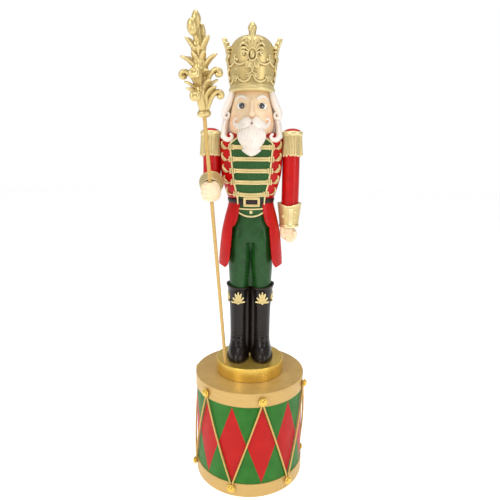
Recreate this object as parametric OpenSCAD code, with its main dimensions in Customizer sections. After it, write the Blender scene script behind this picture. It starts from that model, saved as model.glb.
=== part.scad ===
// Nutcracker figure with a lift-out staff, on a drum with a musical turntable.
// The origin is the centre of the drum's foot. +Z is up and the figure faces -Y,
// so the figure's own left side is at +X.

/* [Drum] */
// Height of the drum, from its foot to its gold head
drum_h = 121; // [110:1:135]
// Outer radius of the two gold hoops
hoop_r = 62; // [56:0.5:68]
// Height of each hoop
hoop_h = 15.4; // [12:0.2:18]
// How far the hoops stand proud of the shell
hoop_proud = 0.8; // [0.6:0.1:1.2]
// Wall of the shell, and thickness of the head and of the base plate
drum_wall = 3; // [2.5:0.5:4]
// Number of pegs around each hoop
peg_count = 6; // [4:1:8]
// Angle of the first top peg, from the front towards the figure's left
peg_turn = 12.6; // [0:0.2:30]
// Radius of a peg's domed head
peg_r = 4.7; // [4:0.1:5]
// Radius of the cord between the pegs
cord_r = 1; // [0.8:0.1:1]

/* [Turntable] */
// Radius of the disc that the figure stands on
disc_r = 38; // [37:0.5:44]
// Thickness of that disc
disc_h = 15.3; // [12:0.1:18]
// Radius of the spindle that carries the disc
spindle_r = 4; // [3.5:0.5:5]
// Running clearance of the spindle in its bush, on the radius
spindle_gap = 0.05; // [0.03:0.01:0.08]

/* [Figure] */
// Half width of the chest
chest_rx = 31.6; // [30.5:0.1:32]
// Half depth of the chest
chest_ry = 19.8; // [19:0.1:20.5]
// Half spacing of the two boots
boot_x = 13.6; // [13.2:0.1:14]
// Radius of a sleeve
sleeve_r = 9.2; // [8.6:0.1:9.4]
// Distance of each arm from the middle
arm_x = 42; // [41.8:0.1:42.6]
// Radius of each fist
fist_r = 9.6; // [9:0.1:10]

/* [Crown] */
// Radius of the crown's padded rim
rim_r = 24; // [23:0.1:25]
// Height of the crown above the rim's lower edge, without its finial
crown_h = 58.5; // [56:0.5:62]

/* [Staff] */
// Radius of the rod
rod_r = 1.8; // [1.5:0.1:2]
// Radius of the hole through the fist
rod_hole_r = 2.7; // [2.5:0.1:3]
// Length of the whole staff
staff_len = 350; // [340:1:360]
// Length of the cast finial at its top
finial_len = 88; // [80:1:92]

/* [Hidden] */
$fn = 64;

red = "firebrick";
green = "darkgreen";
gold = "goldenrod";
skin = "bisque";
white = "ivory";
leather = "#2b211c";

// Drum
shell_r = hoop_r - hoop_proud;
top_peg_z = drum_h - 8.5;
bottom_peg_z = hoop_h - 5.2;
peg_step = 360 / peg_count;
stem_r = 1;
stem_h = 2 * cord_r + 0.1;
hoop_edge = 0.4;
cord_path_r = hoop_r + cord_r + 0.03;

// Turntable
bush_r = 7;
bush_flange_r = 11;
bush_flange_h = 2;
bush_top = drum_h + 0.35;
disc_z = drum_h + 0.4;
disc_top = disc_z + disc_h;
socket_h = 7;
spindle_foot = drum_h - 27.5;
case_size = [62, 50, 26];
case_wall = 2;
case_top = drum_h - drum_wall - 4;
ear_size = [9, 50, 3];
screw_x = case_size.x / 2 + 4.5;
screw_y = 17;
screw_r = 1.5;

// Levels of the figure, from its soles up
sole_z = disc_top;
boot_h = 85;
boot_top = sole_z + boot_h;
leg_foot = boot_top - 6;
crotch_z = sole_z + 126;
waist_z = sole_z + 174.3;
shoulder_z = waist_z + 75;
chin_z = waist_z + 69;
rim_z = chin_z + 45.3;

// Heights of the chest's sections above the waist, with their half sizes
chest_sections = [
    [0, chest_rx - 9, chest_ry - 3.6],
    [7, chest_rx - 7.6, chest_ry - 2.8],
    [39, chest_rx - 0.3, chest_ry],
    [63, chest_rx, chest_ry - 0.3],
    [75, chest_rx - 4, chest_ry - 8]
];
hip_sections = [
    [crotch_z - 8 - waist_z, 25, 15.5],
    [-21, 24.5, 16],
    [-0.05, chest_rx - 9, chest_ry - 3.8]
];
layer = 1.5;
trim = 1.4;

// Staff: foot on the disc, leaning forward and outward through the fist
staff_foot = [-27, -21, disc_top];
staff_lean = [-0.063, -0.155, 1];
staff_tilt = acos(1 / norm(staff_lean));
staff_bearing = atan2(staff_lean.y, staff_lean.x);
fist_z = waist_z + 17;
right_fist = staff_foot + staff_lean * (fist_z - disc_top);
right_elbow = [-arm_x, 0, waist_z + 30];
left_wrist_z = waist_z - 25;

module slice(z, rx, ry, x = 0, y = 0)
    translate([x, y, z]) linear_extrude(0.05) scale([rx, ry]) circle(1, $fn = 48);

// The chest's outer skin, grown outward by t
module chest(t = 0)
    hull() for (s = chest_sections) slice(waist_z + s[0], s[1] + t, s[2] + t);

module hips(t = 0)
    hull() for (s = hip_sections) slice(waist_z + s[0], s[1] + t, s[2] + t);

// A layer on the front of the chest between two offsets, in the outline of its children
module on_chest(t0, t1)
    difference() {
        intersection() {
            chest(t1);
            translate([0, 0, waist_z]) rotate([90, 0, 0]) linear_extrude(60) children();
        }
        chest(t0);
    }

module mirrored() {
    children();
    mirror([1, 0, 0]) children();
}

module ball(p, r) translate(p) sphere(r, $fn = 28);

module around(count, turn, step) for (k = [0 : count - 1]) rotate([0, 0, turn + k * step]) children();

// ---- Drum ----

module base_plate() color("tan") cylinder(r = shell_r, h = drum_wall, $fn = 120);

module hoop_ring()
    rotate_extrude($fn = 120) translate([shell_r, 0]) polygon([
        [0, 0], [hoop_proud - hoop_edge, 0], [hoop_proud, hoop_edge], [hoop_proud, hoop_h - hoop_edge],
        [hoop_proud - hoop_edge, hoop_h], [0, hoop_h]
    ]);

module bottom_hoop() color(gold) hoop_ring();

module top_hoop() color(gold) translate([0, 0, drum_h - hoop_h]) hoop_ring();

module drum_shell()
    color(green) translate([0, 0, drum_wall]) difference() {
        cylinder(r = shell_r, h = drum_h - 2 * drum_wall, $fn = 120);
        translate([0, 0, -1]) cylinder(r = shell_r - drum_wall, h = drum_h, $fn = 120);
    }

module screw_places()
    for (x = [-screw_x, screw_x], y = [-screw_y, screw_y])
        translate([x, y, drum_h - drum_wall - ear_size.z]) children();

module drum_head()
    color(gold) difference() {
        translate([0, 0, drum_h - drum_wall]) cylinder(r = shell_r, h = drum_wall, $fn = 120);
        translate([0, 0, drum_h - 10]) cylinder(r = bush_r, h = 20);
        screw_places() cylinder(r = screw_r, h = ear_size.z + 2);
    }

module peg_ring(z, turn)
    around(peg_count, turn, peg_step) translate([0, -hoop_r, z]) rotate([90, 0, 0]) rotate_extrude()
        polygon([
            [0, 0], [stem_r, 0], [stem_r, stem_h], [peg_r, stem_h], [peg_r, stem_h + 0.9],
            [peg_r - 0.5, stem_h + 1.1], [peg_r - 1.1, stem_h + 2.5], [peg_r - 2.5, stem_h + 3.5],
            [0, stem_h + 3.9]
        ]);

module top_pegs() color(gold) peg_ring(top_peg_z, peg_turn);

module bottom_pegs() color(gold) peg_ring(bottom_peg_z, peg_turn + peg_step / 2);

// The cord's route, unrolled: arc length along the drum and height. It passes over each top
// stem and under each bottom stem, and runs straight between them.
turn_r = stem_r + cord_r + 0.05;
arc = PI * cord_path_r / 180;
half = peg_step / 2 * arc;
function turn_points(s, z, up) =
    [for (a = [160 : -35 : 20]) [s + turn_r * cos(a), z + up * turn_r * sin(a)]];
function run_points(p, q) = [for (i = [1 : 6]) p + (q - p) * i / 7];
function period(k) = let (
    top = turn_points(2 * k * half, top_peg_z, 1),
    low = turn_points((2 * k + 1) * half, bottom_peg_z, -1),
    next = turn_points((2 * k + 2) * half, top_peg_z, 1)
) concat(top, run_points(top[4], low[0]), low, run_points(low[4], next[0]));
cord_flat = [for (k = [0 : peg_count - 1]) each period(k)];
cord_sides = 8;
function on_drum(p, r) = let (a = peg_turn + p[0] / arc) [r * sin(a), -r * cos(a), p[1]];
function cord_ring(i) = let (
    n = len(cord_flat),
    ahead = cord_flat[(i + 1) % n] + (i + 1 >= n ? [peg_count * 2 * half, 0] : [0, 0]),
    behind = cord_flat[(i + n - 1) % n] - (i == 0 ? [peg_count * 2 * half, 0] : [0, 0]),
    along = (ahead - behind) / norm(ahead - behind),
    side = [-along[1], along[0]]
) [for (j = [0 : cord_sides - 1]) let (w = 360 * j / cord_sides)
    on_drum(cord_flat[i] + side * cord_r * cos(w), cord_path_r + cord_r * sin(w))];
module drum_cord() {
    n = len(cord_flat);
    points = [for (i = [0 : n - 1]) each cord_ring(i)];
    faces = [for (i = [0 : n - 1], j = [0 : cord_sides - 1]) let (
        a = i * cord_sides, b = ((i + 1) % n) * cord_sides, k = (j + 1) % cord_sides
    ) each [[a + j, b + j, b + k], [a + j, b + k, a + k]]];
    color(gold) polyhedron(points, faces);
}

// ---- Turntable ----

module bearing_bush()
    color("darkkhaki") difference() {
        union() {
            translate([0, 0, drum_h - drum_wall]) cylinder(r = bush_r, h = bush_top - drum_h + drum_wall);
            translate([0, 0, drum_h - drum_wall - bush_flange_h])
                cylinder(r = bush_flange_r, h = bush_flange_h);
        }
        translate([0, 0, drum_h - 15]) cylinder(r = spindle_r + spindle_gap, h = 30);
    }

module movement_case()
    color("dimgray") difference() {
        union() {
            translate([-case_size.x / 2, -case_size.y / 2, case_top - case_size.z]) cube(case_size);
            for (side = [-1, 1]) translate([side * screw_x, 0, case_top + 4 - ear_size.z / 2])
                cube(ear_size, center = true);
            for (side = [-1, 1]) translate([side * (case_size.x / 2 - 1.5), 0, case_top])
                cube([3, case_size.y, 8], center = true);
        }
        translate([0, 0, case_top - case_size.z / 2])
            cube(case_size - 2 * case_wall * [1, 1, 1], center = true);
        translate([0, 0, case_top - 8]) cylinder(r = spindle_r + 0.5, h = 30);
        screw_places() translate([0, 0, -1]) cylinder(r = screw_r + 0.1, h = 10);
    }

module movement_screws()
    color("silver") screw_places() {
        translate([0, 0, -2]) cylinder(r = 3, h = 2);
        cylinder(r = screw_r, h = ear_size.z + 2);
    }

module turn_spindle()
    color("silver") {
        translate([0, 0, spindle_foot]) cylinder(r = spindle_r, h = disc_z + socket_h - spindle_foot);
        translate([0, 0, spindle_foot - 3]) cylinder(r = 14, h = 9);
    }

module pedestal_disc()
    color(gold) translate([0, 0, disc_z]) difference() {
        rotate_extrude($fn = 120) {
            square([disc_r - 1, disc_h]);
            square([disc_r, disc_h - 1]);
            translate([disc_r - 1, disc_h - 1]) circle(1, $fn = 24);
        }
        translate([0, 0, -1]) cylinder(r = spindle_r, h = socket_h + 1);
    }

// ---- Legs ----

module boot() {
    sole_h = 2.6;
    difference() {
        translate([boot_x, 0, sole_z]) union() {
            hull() {
                translate([0.4, -11.2, 0]) cylinder(r = 12.6, h = sole_h, $fn = 40);
                translate([0, 7, 0]) cylinder(r = 9.5, h = sole_h, $fn = 40);
            }
            hull() {
                translate([0.4, -10.8, sole_h]) cylinder(r = 11.8, h = 5, $fn = 40);
                translate([0.3, -9.5, 10]) cylinder(r = 8.4, h = 2.5, $fn = 40);
                translate([0, 6.6, sole_h]) cylinder(r = 9, h = 18, $fn = 40);
            }
            translate([-boot_x, -4, 0]) cube([boot_x, 12, boot_h - 4]);
            hull() {
                slice(16, 9.2, 11, 0, 3);
                slice(50, 9.2, 11.6, 0, 1);
                slice(boot_h - 10, 11, 13, 0, 0);
                slice(boot_h - 0.05, 12, 14, 0, 0);
            }
        }
        trousers_shape();
    }
}

module left_boot() color(leather) boot();

module right_boot() color(leather) mirror([1, 0, 0]) boot();

module trousers_shape() {
    mirrored() hull() {
        slice(leg_foot, 10.4, 12.2, boot_x - 0.6);
        slice(crotch_z - 4, 12.6, 14.6, boot_x - 1);
    }
    translate([-5, -6, leg_foot]) cube([10, 16, crotch_z - leg_foot]);
    hips();
}

module trousers() color(green) trousers_shape();

module boot_ornaments()
    color(gold) mirrored() difference() {
        translate([boot_x, 0, boot_top - 15]) {
            rotate([90, 0, 0]) cylinder(r = 8, h = 14.8, $fn = 40);
            rotate([0, 90, 0]) cylinder(r = 7, h = 13, $fn = 40);
        }
        boot();
        translate([boot_x, 0, boot_top - 30]) cylinder(r = 8.6, h = 40, $fn = 40);
    }

// ---- Coat ----

module coat_body()
    color(red) difference() {
        chest();
        head_shape();
    }

module skirt(t) hull() {
    slice(waist_z + 1.35, chest_rx - 6.4 + t, chest_ry - 1.2 + t);
    slice(waist_z - 66, chest_rx + 5 + t, chest_ry + 9 + t);
}

module coat_tails() {
    opening = [[0, 4], [12.6, 4], [14.2, -13.6], [21.4, -23], [24.8, -61], [30, -72], [0, -72]];
    color(red) difference() {
        skirt(0);
        difference() {
            skirt(-2);
            translate([0, 0, waist_z + 0.6]) cylinder(r = 60, h = 10);
        }
        chest();
        hips();
        translate([0, 0, waist_z]) rotate([90, 0, 0]) linear_extrude(60) {
            polygon(opening);
            mirror([1, 0]) polygon(opening);
        }
        translate([-0.8, 0, waist_z - 80]) cube([1.6, 60, 66]);
    }
}

// Right-hand edge of the waistcoat, from its foot to the collar, with heights from the waist
vest_edge = [[13.4, 8.7], [17.6, 26], [19.6, 45], [21.2, 60], [15, 66.8]];
piping_w = 1.7;

module vest_outline(grow = 0)
    polygon(concat(
        [for (p = vest_edge) [p.x + grow, p.y]],
        [for (i = [len(vest_edge) - 1 : -1 : 0]) [-vest_edge[i].x - grow, vest_edge[i].y]]
    ));

module waistcoat() color(green) on_chest(0, layer) vest_outline();

module waistcoat_piping()
    color(gold) on_chest(0, layer) difference() {
        vest_outline(piping_w);
        vest_outline();
    }

// Height of each bar's middle above the waist, and its half length
bars = [[12, 13.6], [25, 17.2], [36.2, 18.6], [48.2, 19.8], [60.4, 21]];
bar_h = 4.8;

module frog_bars()
    color(gold) on_chest(layer, layer + trim) for (b = bars) {
        translate([-b[1], b[0] - bar_h / 2]) square([2 * b[1], bar_h]);
        for (side = [-1, 1]) translate([side * b[1], b[0]]) circle(bar_h / 2 + 0.5, $fn = 20);
    }

module frog_tassels()
    color(gold) on_chest(0, layer) for (b = bars, side = [-1, 1])
        translate([side * (b[1] + 3.2), b[0]]) scale([side, 1])
            polygon([[0, -2.2], [6.2, -3.6], [6.2, 4.6], [0, 2.2]]);

belt_foot = 1.4;
belt_h = 6.6;

module belt()
    color(leather) difference() {
        intersection() {
            chest(2.2);
            translate([0, 0, waist_z + belt_foot]) cylinder(r = 60, h = belt_h);
        }
        chest();
    }

module belt_buckle()
    color(gold) on_chest(2.2, 3.6) difference() {
        translate([-8.8, 0.2]) square([17.6, 9.2]);
        translate([-5.8, 2.4]) square([11.6, 4.8]);
    }

// The coat's short front under the belt, down to a shallow arc
hem_half = 12.4;

module hem_outline(drop) intersection() {
    translate([-hem_half, -20]) square([2 * hem_half, 20 + belt_foot]);
    translate([0, 26 - drop]) circle(38, $fn = 96);
}

module on_hips(t0, t1)
    difference() {
        intersection() {
            union() {
                hips(t1);
                translate([0, 0, waist_z]) intersection() {
                    cylinder(r = 60, h = belt_foot);
                    translate([0, 0, -waist_z]) chest(t1);
                }
            }
            translate([0, 0, waist_z]) rotate([90, 0, 0]) linear_extrude(60) children();
        }
        hips(t0);
        chest(t0);
    }

module hem_panel() color(green) on_hips(0, 1.2) hem_outline(0);

module hem_trim()
    color(gold) on_hips(1.2, 2.4) {
        difference() {
            hem_outline(0);
            hem_outline(-2);
        }
        translate([-hem_half, -3]) square([2 * hem_half, 1.6]);
    }

module hem_button()
    color(gold) on_hips(1.2, 3.2) translate([0, -6.4]) circle(2.2, $fn = 24);

// ---- Arms ----

module straight_sleeve() hull() {
    ball([arm_x - 6, 0, shoulder_z - 8], sleeve_r);
    ball([arm_x, 0, shoulder_z - 9], sleeve_r);
    ball([arm_x, 0, left_wrist_z + 22], sleeve_r);
    translate([arm_x, 0, left_wrist_z + 4]) cylinder(r = sleeve_r - 1.2, h = 1, $fn = 28);
}

module left_arm()
    color(red) difference() {
        straight_sleeve();
        chest(layer);
        shoulder_caps_shape();
        left_epaulette_shape();
    }

module right_arm()
    color(red) difference() {
        union() {
            hull() {
                ball([6 - arm_x, 0, shoulder_z - 8], sleeve_r);
                ball([-arm_x, 0, shoulder_z - 9], sleeve_r);
                ball(right_elbow, sleeve_r);
            }
            hull() {
                ball(right_elbow, sleeve_r);
                ball(right_elbow + (right_fist - right_elbow) * 0.6, sleeve_r - 1.4);
            }
        }
        chest(layer);
        mirror([1, 0, 0]) shoulder_caps_shape();
        mirror([1, 0, 0]) left_epaulette_shape();
        translate(right_elbow) along_forearm() translate([0, 0, cuff_at + 3]) cylinder(r = 20, h = 40);
    }

forearm = right_fist - right_elbow;
forearm_len = norm(forearm);
cuff_at = forearm_len - 28;

module along_forearm()
    rotate([0, 0, atan2(forearm.y, forearm.x)]) rotate([0, acos(forearm.z / forearm_len), 0]) children();

// A flared gauntlet cuff, wide end down at z = 0 and narrow end at z = h, open at the wide end
module cuff_shape(wide, narrow, h)
    rotate_extrude() polygon([
        [0, 3], [wide - 2.2, 3], [wide - 1.6, 0], [wide, 0], [wide - 0.5, 2.2],
        [(wide + narrow) / 2 - 0.4, h / 2], [narrow, h - 2], [narrow, h], [0, h]
    ]);

module left_cuff()
    color(gold) difference() {
        translate([arm_x - 0.5, 0, left_wrist_z + 25]) rotate([0, 184, 0]) cuff_shape(12.6, 10, 25);
        left_arm();
    }

module right_cuff()
    color(gold) difference() {
        translate(right_elbow) along_forearm() translate([0, 0, cuff_at]) cuff_shape(12.4, 9.6, 20);
        right_arm();
    }

module cuff_buttons()
    color(gold) difference() {
        for (p = [[-5, 13], [6.5, 17], [6.3, 8]])
            translate([arm_x + p[0] - 0.4, -12.6, left_wrist_z + p[1]]) rotate([-90, 0, 0])
                cylinder(r = 1.7, h = 8, $fn = 24);
        left_cuff();
        left_arm();
        translate([arm_x, 0, left_wrist_z]) cylinder(r = 9, h = 30);
    }

module left_hand()
    color(skin) difference() {
        hull() {
            ball([arm_x - 1, -1, left_wrist_z - 8.4], 8.3);
            translate([arm_x - 1, 0, left_wrist_z - 3]) cylinder(r = 7.6, h = 4, $fn = 28);
        }
        left_cuff();
    }

module right_hand()
    color(skin) difference() {
        translate(right_fist) union() {
            sphere(fist_r);
            translate([0, 0, 1.5]) sphere(fist_r - 0.3);
            translate([0, 0, -1.5]) sphere(fist_r - 0.3);
        }
        along_staff() cylinder(r = rod_hole_r, h = staff_len);
        right_cuff();
    }

module shoulder_caps_shape()
    translate([arm_x + 1, 0, shoulder_z + 2.2]) intersection() {
        translate([0, 0, -12]) sphere(15);
        cylinder(r = 10, h = 20);
    }

module shoulder_caps() color(red) mirrored() shoulder_caps_shape();

module left_epaulette_shape()
    difference() {
        translate([arm_x + 1, 0, shoulder_z - 2.4]) cylinder(r = 10.6, h = 4.6);
        chest(layer);
    }

module left_epaulette() color(gold) left_epaulette_shape();

module right_epaulette() color(gold) mirror([1, 0, 0]) left_epaulette_shape();

module fringe_shape()
    difference() {
        translate([arm_x + 1, 0, shoulder_z - 25]) cylinder(r = 10.7, h = 22.6);
        translate([arm_x, 0, shoulder_z - 60]) cylinder(r = sleeve_r + 0.05, h = 80);
        straight_sleeve();
        chest(layer);
    }

module left_fringe() color(gold) fringe_shape();

module right_fringe() color(gold) mirror([1, 0, 0]) fringe_shape();

// ---- Head ----

// Radius of the head at heights above the chin
head_profile = [
    [10, 0], [14.5, 1.2], [18.5, 4], [21.4, 8.6], [22.8, 13.5], [23.1, 18], [22.5, 25], [21.2, 31],
    [19.6, 38], [18.4, 45], [17, 51], [14, 57], [8, 61], [0, 62.5]
];

module head_shape(grow = 0)
    translate([0, 0, chin_z]) rotate_extrude()
        polygon(concat([[0, 0]], [for (p = head_profile) [p[0] == 0 ? 0 : p[0] + grow, p[1]]]));

module head() color(skin) head_shape();

module nose()
    color(skin) difference() {
        hull() {
            ball([0, -24.6, chin_z + 22.6], 3.2);
            ball([0, -21, chin_z + 32], 1.8);
        }
        head_shape();
    }

module eyes()
    color(white) difference() {
        mirrored() ball([10, -16.9, chin_z + 31], 4.4);
        head_shape();
    }

module brows()
    color(white) difference() {
        mirrored() hull() {
            ball([5.6, -19.6, chin_z + 38.6], 1.5);
            ball([13.8, -15.6, chin_z + 38.4], 1.3);
        }
        head_shape();
    }

module moustache()
    color(white) difference() {
        mirrored() {
            hull() {
                ball([2, -23.4, chin_z + 18.6], 3);
                ball([9.5, -22.4, chin_z + 13.6], 3.4);
            }
            hull() {
                ball([9.5, -22.4, chin_z + 13.6], 3.4);
                ball([15.2, -18.6, chin_z + 17.4], 3);
            }
        }
        head_shape();
        nose();
    }

module beard_shape()
    difference() {
        hull() {
            ball([8.6, -20.6, chin_z + 5], 6);
            ball([-8.6, -20.6, chin_z + 5], 6);
            ball([0, -22.5, chin_z + 7], 6);
            ball([4.5, -24, chin_z - 9], 4.6);
            ball([-4.5, -24, chin_z - 9], 4.6);
            ball([0, -25, chin_z - 17], 3);
        }
        head_shape();
        chest(layer + trim + 0.05);
    }

module beard()
    color(white) difference() {
        beard_shape();
        moustache();
    }

// A side lock of hair: places beside the head, heights above the chin, and radii
lock = [[21.4, 38, 4.6], [23.8, 26, 8], [22, 18, 6.6], [23.6, 10, 8], [20, 3, 5]];

module lock_ball(p) translate([p[0], -4, chin_z + p[1]]) sphere(p[2], $fn = 18);

module hair()
    color(white) difference() {
        union() {
            intersection() {
                translate([0, 0, chin_z]) rotate_extrude()
                    polygon([[0, 0], [23, 0], [27, 8], [27.6, 20], [25, 34], [22, 45.3], [0, 45.3]]);
                translate([-40, 0, chin_z - 10]) cube([80, 40, 80]);
            }
            mirrored() for (i = [0 : len(lock) - 2]) hull() {
                lock_ball(lock[i]);
                lock_ball(lock[i + 1]);
            }
        }
        head_shape(0.04);
        chest();
        translate([0, 0, rim_z]) cylinder(r = 60, h = 40);
        mirrored() translate([arm_x - 6, 0, shoulder_z - 8]) {
            sphere(sleeve_r + 0.1);
            rotate([0, 90, 0]) cylinder(r = sleeve_r + 0.1, h = 20);
        }
    }

// ---- Crown ----

module crown_rim()
    color(gold) difference() {
        translate([0, 0, rim_z]) rotate_extrude() {
            translate([rim_r - 2.8, 2.8]) circle(2.8, $fn = 32);
            translate([15, 1]) square([rim_r - 17.8, 4.6]);
        }
        head_shape();
    }

crown_profile = [
    [0, 5.6], [rim_r - 2.6, 5.6], [rim_r - 2.2, 10], [rim_r - 1.6, 20], [rim_r + 0.2, 31], [rim_r - 0.4, 38],
    [rim_r - 2, 46.5], [rim_r - 5.5, 52.5], [rim_r - 12, crown_h - 1.8], [0, crown_h]
];

module crown_shell()
    color(gold) difference() {
        translate([0, 0, rim_z]) rotate_extrude() polygon(crown_profile);
        head_shape();
    }

module crown_crests() {
    outline = [[0, 17], [6, 19], [15, 26], [15, 31], [11, 33], [9.5, 44], [5, 50], [0, 52.4]];
    color(gold) translate([0, 0, rim_z]) difference() {
        intersection() {
            rotate_extrude() polygon([
                [rim_r - 2, 15], [rim_r + 1.2, 22], [rim_r + 2.4, 36], [rim_r + 5, 52.5],
                [rim_r + 3, 52.5], [rim_r, 36], [rim_r - 3, 22]
            ]);
            union() for (a = [0 : 90 : 270]) rotate([0, 0, a]) rotate([90, 0, 0]) linear_extrude(60) {
                polygon(outline);
                mirror([1, 0]) polygon(outline);
            }
        }
        rotate_extrude() polygon(crown_profile);
    }
}

module crown_finial()
    color(gold) translate([0, 0, rim_z + crown_h]) rotate_extrude() polygon([
        [0, 0], [3.2, 0], [2.4, 1.4], [4.6, 3.4], [4.8, 4.8], [3.6, 7], [1.6, 9], [0.8, 11], [0, 11.4]
    ]);

// ---- Staff ----

module along_staff()
    translate(staff_foot) rotate([0, 0, staff_bearing]) rotate([0, staff_tilt, 0])
        rotate([0, 0, -staff_bearing]) children();

module staff_rod()
    color(gold) difference() {
        along_staff() translate([0, 0, -2]) cylinder(r = rod_r, h = staff_len - finial_len + 6);
        translate([0, 0, disc_top - 20]) cylinder(r = 60, h = 20.05);
    }

module bud_ring(z, count, turn, reach)
    translate([0, 0, z]) for (k = [0 : count - 1]) rotate([0, 0, turn + k * 360 / count]) {
        translate([reach, 0, 0]) sphere(3, $fn = 24);
        rotate([0, 90, 0]) cylinder(r = 1.6, h = reach, $fn = 24);
    }

module staff_finial()
    color(gold) difference() {
        along_staff() translate([0, 0, staff_len - finial_len]) {
            rotate_extrude($fn = 40) polygon([
                [0, 0], [5, 0.5], [6.6, 3.5], [4, 7], [3, 12], [6, 17], [9, 24], [12.6, 33], [5, 37], [5.6, 42],
                [12, 52], [14.6, 57], [8, 60], [9, 66], [6, 74], [4, 82], [0, finial_len]
            ]);
            bud_ring(19, 4, 0, 12.6);
            bud_ring(40, 4, 0, 16);
        }
        along_staff() translate([0, 0, -2]) cylinder(r = rod_r, h = staff_len - finial_len + 6);
    }

base_plate();
bottom_hoop();
drum_shell();
top_hoop();
drum_head();
top_pegs();
bottom_pegs();
drum_cord();
bearing_bush();
movement_case();
movement_screws();
turn_spindle();
pedestal_disc();
left_boot();
right_boot();
boot_ornaments();
trousers();
coat_body();
coat_tails();
waistcoat();
waistcoat_piping();
frog_bars();
frog_tassels();
belt();
belt_buckle();
hem_panel();
hem_trim();
hem_button();
left_arm();
right_arm();
left_cuff();
right_cuff();
cuff_buttons();
left_hand();
right_hand();
shoulder_caps();
left_epaulette();
right_epaulette();
left_fringe();
right_fringe();
head();
nose();
eyes();
brows();
moustache();
beard();
hair();
crown_rim();
crown_shell();
crown_crests();
crown_finial();
staff_rod();
staff_finial();
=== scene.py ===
import math

import bmesh
import bpy
import numpy as np
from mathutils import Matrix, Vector, noise


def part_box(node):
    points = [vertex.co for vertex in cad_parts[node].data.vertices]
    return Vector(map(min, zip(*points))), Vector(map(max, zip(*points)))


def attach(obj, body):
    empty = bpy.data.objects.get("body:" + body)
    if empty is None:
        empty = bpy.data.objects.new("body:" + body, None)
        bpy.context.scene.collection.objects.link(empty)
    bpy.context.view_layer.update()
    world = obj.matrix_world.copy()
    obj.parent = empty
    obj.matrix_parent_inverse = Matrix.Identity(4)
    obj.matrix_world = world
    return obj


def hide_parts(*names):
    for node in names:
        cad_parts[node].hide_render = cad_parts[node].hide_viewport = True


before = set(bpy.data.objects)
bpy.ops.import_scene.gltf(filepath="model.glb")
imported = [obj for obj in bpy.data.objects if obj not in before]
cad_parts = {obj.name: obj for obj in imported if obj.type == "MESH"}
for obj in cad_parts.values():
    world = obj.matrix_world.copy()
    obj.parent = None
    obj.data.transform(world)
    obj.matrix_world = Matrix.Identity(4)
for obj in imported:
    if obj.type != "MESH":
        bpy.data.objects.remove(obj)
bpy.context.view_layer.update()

MM = 0.001

# ---- Levels and sizes in mm, from the frame ----


def low(node):
    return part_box(node)[0] / MM


def high(node):
    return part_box(node)[1] / MM


HOOP_R = high("top_hoop").x
HOOP_TOP = low("top_hoop").z
HOOP_FOOT = high("bottom_hoop").z
TOP_PEG = (low("top_pegs").z + high("top_pegs").z) / 2
BOTTOM_PEG = (low("bottom_pegs").z + high("bottom_pegs").z) / 2
PEG_COUNT = 6
PEG_TURN = 12.6
PEG_STEP = 360 / PEG_COUNT
SOLE = high("pedestal_disc").z
BOOT_TOP = high("left_boot").z
BOOT_X = 13.6
WAIST = low("belt").z - 1.4
SHOULDER = high("coat_body").z
CHIN = low("head").z
RIM = low("crown_rim").z
CROWN_TOP = high("crown_shell").z
ARM_X = 42.0
SLEEVE_R = 9.2
WRIST = low("left_cuff").z


def srgb(r, g, b):
    def linear(c):
        c = c / 255
        return c / 12.92 if c <= 0.04045 else ((c + 0.055) / 1.055) ** 2.4

    return (linear(r), linear(g), linear(b), 1.0)


def dimmed(colour, share):
    """A colour at a share of its brightness."""
    return tuple(share * c for c in colour[:3]) + (1,)


# ---- Materials ----


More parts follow.
